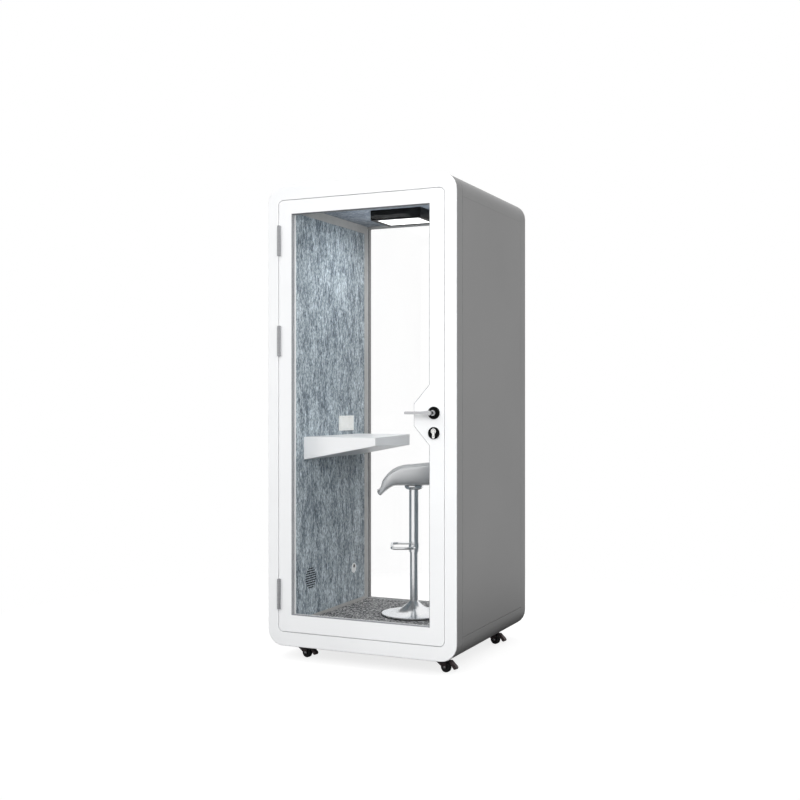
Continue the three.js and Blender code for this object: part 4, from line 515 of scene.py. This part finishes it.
# Door hardware
# Levers, cylinder, bolts and strike are zinc and steel castings plated in satin nickel; the hinges are
# turned steel barrels with a fine turned grain. A nickel keyhole trim frames the cylinder outside.
satin_nickel, tree, shader, place = new_finish("satin_nickel_plate")
BRUSH = 0.0008  # brush lines are finer than this; drawn at 0.8 mm so that they show close to
lines = add(tree, "ShaderNodeMapping", {"Vector": place, "Scale": (8, 1 / BRUSH, 1 / BRUSH)}).outputs["Vector"]
brushed = add(tree, "ShaderNodeTexNoise", {"Vector": lines, "Scale": 1, "Detail": 2})
tree.links.new(ramp(tree, brushed.outputs["Fac"], (0.3, "#b4b5b7"), (0.7, "#cecfd1")), shader.inputs["Base Color"])
shader.inputs["Metallic"].default_value = 1
rough = add(tree, "ShaderNodeMapRange", {0: brushed.outputs["Fac"], 3: 0.18, 4: 0.28})
tree.links.new(rough.outputs[0], shader.inputs["Roughness"])
coat(satin_nickel, 0.0025, "outside_lever", "inside_lever")
coat(satin_nickel, 0.0006, "strike_plate", "latch_bolt", "deadbolt")

polished_nickel, tree, shader, place = new_finish("polished_nickel_plate")
haze = add(tree, "ShaderNodeTexNoise", {"Vector": place, "Scale": 60, "Detail": 3})
tree.links.new(ramp(tree, haze.outputs["Fac"], (0.3, "#f2f2f0"), (0.7, "#fbfbf9")), shader.inputs["Base Color"])
shader.inputs["Metallic"].default_value = 1
shader.inputs["Roughness"].default_value = 0.14
coat(polished_nickel, 0.0006, "lock_cylinder", "thumbturn")


def keyhole(radius, web, foot):
    """The outline of a profile cylinder about its plug: a circle with a round-ended stem below it."""
    start = math.asin(web / radius) - math.pi / 2
    outline = []
    for step in range(25):
        turn = start + (math.pi * 2 - 2 * (start + math.pi / 2)) * step / 24
        outline.append((radius * math.cos(turn), radius * math.sin(turn)))
    for step in range(13):
        turn = math.pi + math.pi * step / 12
        outline.append((web * math.cos(turn), foot + web + web * math.sin(turn)))
    return outline


cylinder_low, cylinder_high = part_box("lock_cylinder")
escutcheon_low, escutcheon_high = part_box("outside_escutcheon")
plug_x = (cylinder_low.x + cylinder_high.x) / 2
plug_z = cylinder_high.z - 0.0085
loops = []
for outline, face in (
    (keyhole(0.0128, 0.0066, -0.0340), 0.00005), (keyhole(0.0128, 0.0066, -0.0340), 0.0008),
    (keyhole(0.0123, 0.0062, -0.0335), 0.0012), (keyhole(0.0092, 0.0057, -0.0249), 0.0012),
    (keyhole(0.0089, 0.0054, -0.0246), 0.00005),
):
    loops.append([(plug_x + x, escutcheon_low.y - face, plug_z + z) for x, z in outline])
soften(new_piece("keyhole_trim", *tube(loops, closed=True), polished_nickel, "door"), 0)

turned_steel, tree, shader, place = new_finish("turned_steel")
TURNING = 0.001  # tool marks are finer; drawn at 1 mm so that they show close to
rings = add(tree, "ShaderNodeMapping", {"Vector": place, "Scale": (6, 6, 1 / TURNING)}).outputs["Vector"]
marks = add(tree, "ShaderNodeTexNoise", {"Vector": rings, "Scale": 1, "Detail": 2})
tree.links.new(ramp(tree, marks.outputs["Fac"], (0.3, "#96979a"), (0.7, "#abacae")), shader.inputs["Base Color"])
shader.inputs["Metallic"].default_value = 0.9
shader.inputs["Roughness"].default_value = 0.36
hinge_names = [f"hinge_{part}_{row}" for row in ("lower", "middle", "upper") for part in ("post", "leaf")]
coat(turned_steel, 0.0008, *hinge_names)
coat(turned_steel, 0.0006, "lock_case", "gas_spring_rod")

coat(rubber, 0.001, "door_seal")


# Casters
# Hard rubber wheels in pressed steel forks with a dark brown-grey coat and a brake pedal. Each fork swivels
# on a kingpin in the pad under the floor pan; a bolt with a domed head holds the axle.
fork_coat, tree, shader, place = new_finish("dark_fork_coat")
wear = add(tree, "ShaderNodeTexNoise", {"Vector": place, "Scale": 70, "Detail": 6, "Roughness": 0.6})
tree.links.new(ramp(tree, wear.outputs["Fac"], (0.35, "#2f2627"), (0.75, "#584c4d")), shader.inputs["Base Color"])
shader.inputs["Metallic"].default_value = 0.3
shader.inputs["Roughness"].default_value = 0.4
CASTER_YAW = math.radians(80)
BOLT_RADIUS = 0.0062
BOLT_SEAT = 0.0165  # from the middle of the wheel to the outside of the fork
axle = Vector((math.cos(CASTER_YAW), math.sin(CASTER_YAW), 0))
rolling = Vector((-axle.y, axle.x, 0))
for corner in (f"{row}_{side}" for row in ("front", "rear") for side in ("left", "right")):
    coat(fork_coat, 0.0008, f"caster_fork_{corner}")
    coat(rubber, 0.0012, f"caster_wheel_{corner}")
    wheel_low, wheel_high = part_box(f"caster_wheel_{corner}")
    hub = (wheel_low + wheel_high) / 2
    for end, side in (("left", -1), ("right", 1)):
        loops = []
        for reach, radius in ((0.0001, 1.0), (0.0016, 1.0), (0.0026, 0.86), (0.0032, 0.55), (0.0034, 0.12)):
            loop = []
            for step in range(18):
                turn = math.pi * step / 9
                spoke = rolling * math.cos(turn) + Vector((0, 0, math.sin(turn)))
                loop.append(hub + axle * side * (BOLT_SEAT + reach) + spoke * BOLT_RADIUS * radius)
            loops.append(loop)
        soften(new_piece(f"axle_bolt_{corner}_{end}", *tube(loops), turned_steel, f"fork_{corner}"), 0)


# Bar stool: foot, column, sleeve and footrest
# Bright chrome on steel. A spun trumpet foot runs into the column; the sleeve with its bell slides over
# it and carries the bent footrest loop. A black rubber ring keeps the foot off the carpet.
chrome, tree, shader, place = new_finish("bright_chrome")
haze = add(tree, "ShaderNodeTexNoise", {"Vector": place, "Scale": 30, "Detail": 4})
shader.inputs["Base Color"].default_value = linear("#f6f7f8")
shader.inputs["Specular Tint"].default_value = linear("#e6e8ea")
shader.inputs["Metallic"].default_value = 1
rough = add(tree, "ShaderNodeMapRange", {0: haze.outputs["Fac"], 3: 0.17, 4: 0.23})
tree.links.new(rough.outputs[0], shader.inputs["Roughness"])
coat(chrome, 0.0008, "stool_base", "stool_sleeve", "lift_lever")
coat(chrome, 0, "stool_footrest")

foot_low, foot_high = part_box("stool_base")
STOOL_AT = Vector(((foot_low.x + foot_high.x) / 2, (foot_low.y + foot_high.y) / 2, foot_low.z))
FOOT_RADIUS = 0.1681
RING_HEIGHT = 0.006
RING_WIDTH = 0.0018
loops = []
for step in range(96):
    turn = math.tau * step / 96
    outward = Vector((math.cos(turn), math.sin(turn), 0))
    loop = []
    for inset, rise in ((0, 0.0002), (0.8, 0.0002), (1, 0.2), (1, 0.8), (0.7, 1), (0, 1)):
        loop.append(STOOL_AT + outward * (FOOT_RADIUS + RING_WIDTH * inset) + Vector((0, 0, RING_HEIGHT * rise)))
    loops.append(loop)
soften(new_piece("stool_foot_ring", *tube(loops, closed=True), rubber, "pod"), 0)


# Bar stool: seat
# One glossy light-grey moulding: a scoop whose sides roll up to a rounded rim, with a drooping front edge
# and a low back. It is screwed to the bell.
seat_gloss, tree, shader, place = new_finish("glossy_grey_moulding")
flow = add(tree, "ShaderNodeTexNoise", {"Vector": place, "Scale": 6, "Detail": 3})
tree.links.new(ramp(tree, flow.outputs["Fac"], (0.3, "#cfd0d1"), (0.7, "#dadbdc")), shader.inputs["Base Color"])
shader.inputs["Roughness"].default_value = 0.22
shader.inputs["Coat Weight"].default_value = 0.4
shader.inputs["Coat Roughness"].default_value = 0.08

SEAT_YAW = math.radians(24.66)
SEAT_RISE = 0.6723  # from the stool's foot to the underside of the seat
SEAT_MIDDLE, SEAT_REACH, SEAT_HALF = 0.0065, 0.1845, 0.160
SEAT_WALL = 0.011
SEAT_STATIONS, SEAT_ACROSS = 72, 44


def seat_spine(s):
    """Height of the underside along the middle, falling at the nose and rising at the back."""
    nose = min(max((s - 0.095) / 0.075, 0), 1)
    lip = max(0, (s - 0.170) / 0.021)
    return -0.051 * nose**1.5 + 0.008 * lip**2 + 0.108 * max(0, (-s - 0.059) / 0.119) ** 2.4


def seat_rim(s):
    """Height of the rim, which runs down into the nose and climbs a little at the back."""
    return 0.1 - 0.133 * max(0, (s + 0.119) / 0.310) ** 5 + 0.022 * max(0, -s / 0.178) ** 1.5


loops = []
for i in range(SEAT_STATIONS + 1):
    s = SEAT_MIDDLE - SEAT_REACH * math.cos(math.pi * i / SEAT_STATIONS)
    along = abs(s - SEAT_MIDDLE) / SEAT_REACH
    half = SEAT_HALF * math.sqrt(1 - 0.62 * along**3.2)
    bow = 0.025 * max(0, s / 0.191) ** 3.6
    inset = min(1, (SEAT_REACH - abs(s - SEAT_MIDDLE)) / (0.015 if s > SEAT_MIDDLE else SEAT_WALL))
    plump = max(0.3, math.sqrt(1 - (1 - inset) ** 2))
    under, over = [], []
    for k in range(SEAT_ACROSS + 1):
        side = 2 * k / SEAT_ACROSS - 1
        lift = abs(side) ** 2.4
        wide = math.sin(side * math.pi / 2)
        at = s - bow * side**2
        spine = seat_spine(at)
        rise = max(seat_rim(at) - spine, 0.018 + 0.012 * min(max((at - 0.105) / 0.071, 0), 1))
        wall = min(SEAT_WALL + 0.019 * min(max((at - 0.105) / 0.071, 0), 1) ** 2, rise)
        below = Vector((-at, half * wide, SEAT_RISE + spine + rise * lift))
        above = Vector((
            -at, (half - SEAT_WALL * (1 - 0.35 * lift)) * wide, SEAT_RISE + spine + wall + (rise - wall) * lift,
        ))
        middle = (below + above) / 2
        under.append(middle + (below - middle) * plump)
        over.append(middle + (above - middle) * plump)
    loop = []
    for outer, inner in ((under, over), (over, under)):
        loop += outer if outer is under else outer[::-1]
        near, far = (outer[-1], inner[-1]) if outer is under else (outer[0], inner[0])
        for turn in (math.pi * 0.25, math.pi * 0.5, math.pi * 0.75):
            crown = (near + far) / 2 + (near - far) / 2 * math.cos(turn)
            loop.append(crown + Vector((0, 0, 0.0035 * plump * math.sin(turn))))
    loops.append([
        STOOL_AT + Vector((
            p.x * math.cos(SEAT_YAW) - p.y * math.sin(SEAT_YAW), p.x * math.sin(SEAT_YAW) + p.y * math.cos(SEAT_YAW), p.z,
        ))
        for p in loop
    ])
seat = new_piece("stool_seat_moulding", *tube(loops), seat_gloss, "stool_top")
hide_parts("stool_seat")


# Studio
# A pale floor that fades into a white surround, broad soft lights from the front left and from the right,
# both from above, and the cabin's own lamp.
floor_finish, tree, shader, place = new_finish("pale_floor")
path = add(tree, "ShaderNodeLightPath")
seen = add(
    tree, "ShaderNodeMath",
    {0: path.outputs["Is Camera Ray"], 1: path.outputs["Is Transmission Ray"]}, operation="MAXIMUM",
)
matt = add(tree, "ShaderNodeBsdfDiffuse", {"Color": linear("#5a5a5a")})
pale = add(tree, "ShaderNodeBsdfDiffuse", {"Color": linear("#9c9c9c")})
lift = add(tree, "ShaderNodeEmission", {"Color": linear("#ffffff"), "Strength": 0.78})
near = add(tree, "ShaderNodeAddShader", {0: pale.outputs[0], 1: lift.outputs[0]})
white = add(tree, "ShaderNodeEmission", {"Color": linear("#ffffff"), "Strength": 1.0})
reach = add(tree, "ShaderNodeVectorMath", {0: place}, operation="LENGTH")
fade = add(tree, "ShaderNodeMapRange", {0: reach.outputs["Value"], 1: 1.0, 2: 2.6})
seen_floor = add(tree, "ShaderNodeMixShader", {0: fade.outputs[0], 1: near.outputs[0], 2: white.outputs[0]})
far_floor = add(tree, "ShaderNodeMixShader", {0: fade.outputs[0], 1: matt.outputs[0], 2: white.outputs[0]})
unseen = add(
    tree, "ShaderNodeMixShader", {0: path.outputs["Is Glossy Ray"], 1: matt.outputs[0], 2: far_floor.outputs[0]},
)
whole = add(tree, "ShaderNodeMixShader", {0: seen.outputs[0], 1: unseen.outputs[0], 2: seen_floor.outputs[0]})
tree.links.new(whole.outputs[0], tree.nodes["Material Output"].inputs["Surface"])
tree.nodes.remove(shader)
FLOOR_RADIUS = 40
mesh = bpy.data.meshes.new("floor")
ring = [
    (FLOOR_RADIUS * math.cos(t * math.pi / 32), FLOOR_RADIUS * math.sin(t * math.pi / 32), -0.0005) for t in range(64)
]
mesh.from_pydata(ring, [], [tuple(range(64))])
mesh.materials.append(floor_finish)
floor = bpy.data.objects.new("floor", mesh)
bpy.context.scene.collection.objects.link(floor)
floor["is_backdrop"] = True

world = bpy.data.worlds.new("white_surround")
bpy.context.scene.world = world
world.use_nodes = True
tree = world.node_tree
path = add(tree, "ShaderNodeLightPath")
seen = add(
    tree, "ShaderNodeMath", {0: path.outputs["Is Camera Ray"], 1: path.outputs["Is Glossy Ray"]}, operation="MAXIMUM",
)
seen = add(
    tree, "ShaderNodeMath", {0: seen.outputs[0], 1: path.outputs["Is Transmission Ray"]}, operation="MAXIMUM",
)
surround = add(tree, "ShaderNodeBackground", {"Color": linear("#ffffff"), "Strength": 1.0})
sky = tree.nodes["Background"]
sky.inputs["Color"].default_value = linear("#ffffff")
sky.inputs["Strength"].default_value = 0.8
both = add(tree, "ShaderNodeMixShader", {0: seen.outputs[0], 1: sky.outputs[0], 2: surround.outputs[0]})
tree.links.new(both.outputs[0], tree.nodes["World Output"].inputs["Surface"])


def soft_light(name, at, towards, width, height, watts):
    """A rectangular lamp that the camera does not see."""
    lamp = bpy.data.lights.new(name, "AREA")
    lamp.shape = "RECTANGLE"
    lamp.size = width
    lamp.size_y = height
    lamp.energy = watts
    made = bpy.data.objects.new(name, lamp)
    bpy.context.scene.collection.objects.link(made)
    made.location = at
    made.rotation_euler = (Vector(towards) - Vector(at)).to_track_quat("-Z", "Y").to_euler()
    made.visible_camera = False
    made.visible_transmission = False
    made.visible_glossy = False
    return made


soft_light("front_light", (-1.6, -4.8, 3.4), (0, -0.4, 1.5), 3.0, 3.0, 50)
soft_light("right_light", (5.4, -1.4, 2.4), (0.5, 0, 1.2), 3.0, 3.0, 42)
soft_light("roof_light", (-0.4, 0.1, 4.6), (-0.4, 0.1, 2.3), 1.6, 1.6, 75)
soft_light("door_light", (2.4, -4.4, 2.2), (-0.3, 0, 1.1), 1.6, 2.0, 116)
soft_light("ceiling_glow", (0, 0, 2.1), (0, 0, 2.2), 0.5, 0.6, 1.4)
soft_light("cabin_light", (0, 0.06, 2.19), (0, 0.06, 1.0), 0.24, 0.18, 3.3)

camera = bpy.data.cameras.new("camera")
camera.lens = 50.9
camera.sensor_width = 36
viewpoint = bpy.data.objects.new("camera", camera)
bpy.context.scene.collection.objects.link(viewpoint)
viewpoint.location = (2.4269, -5.2846, 1.2796)
viewpoint.rotation_euler = Euler((math.radians(90), 0, math.radians(24.66)))
bpy.context.scene.camera = viewpoint
bpy.context.scene.view_settings.view_transform = "Standard"

low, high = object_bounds()
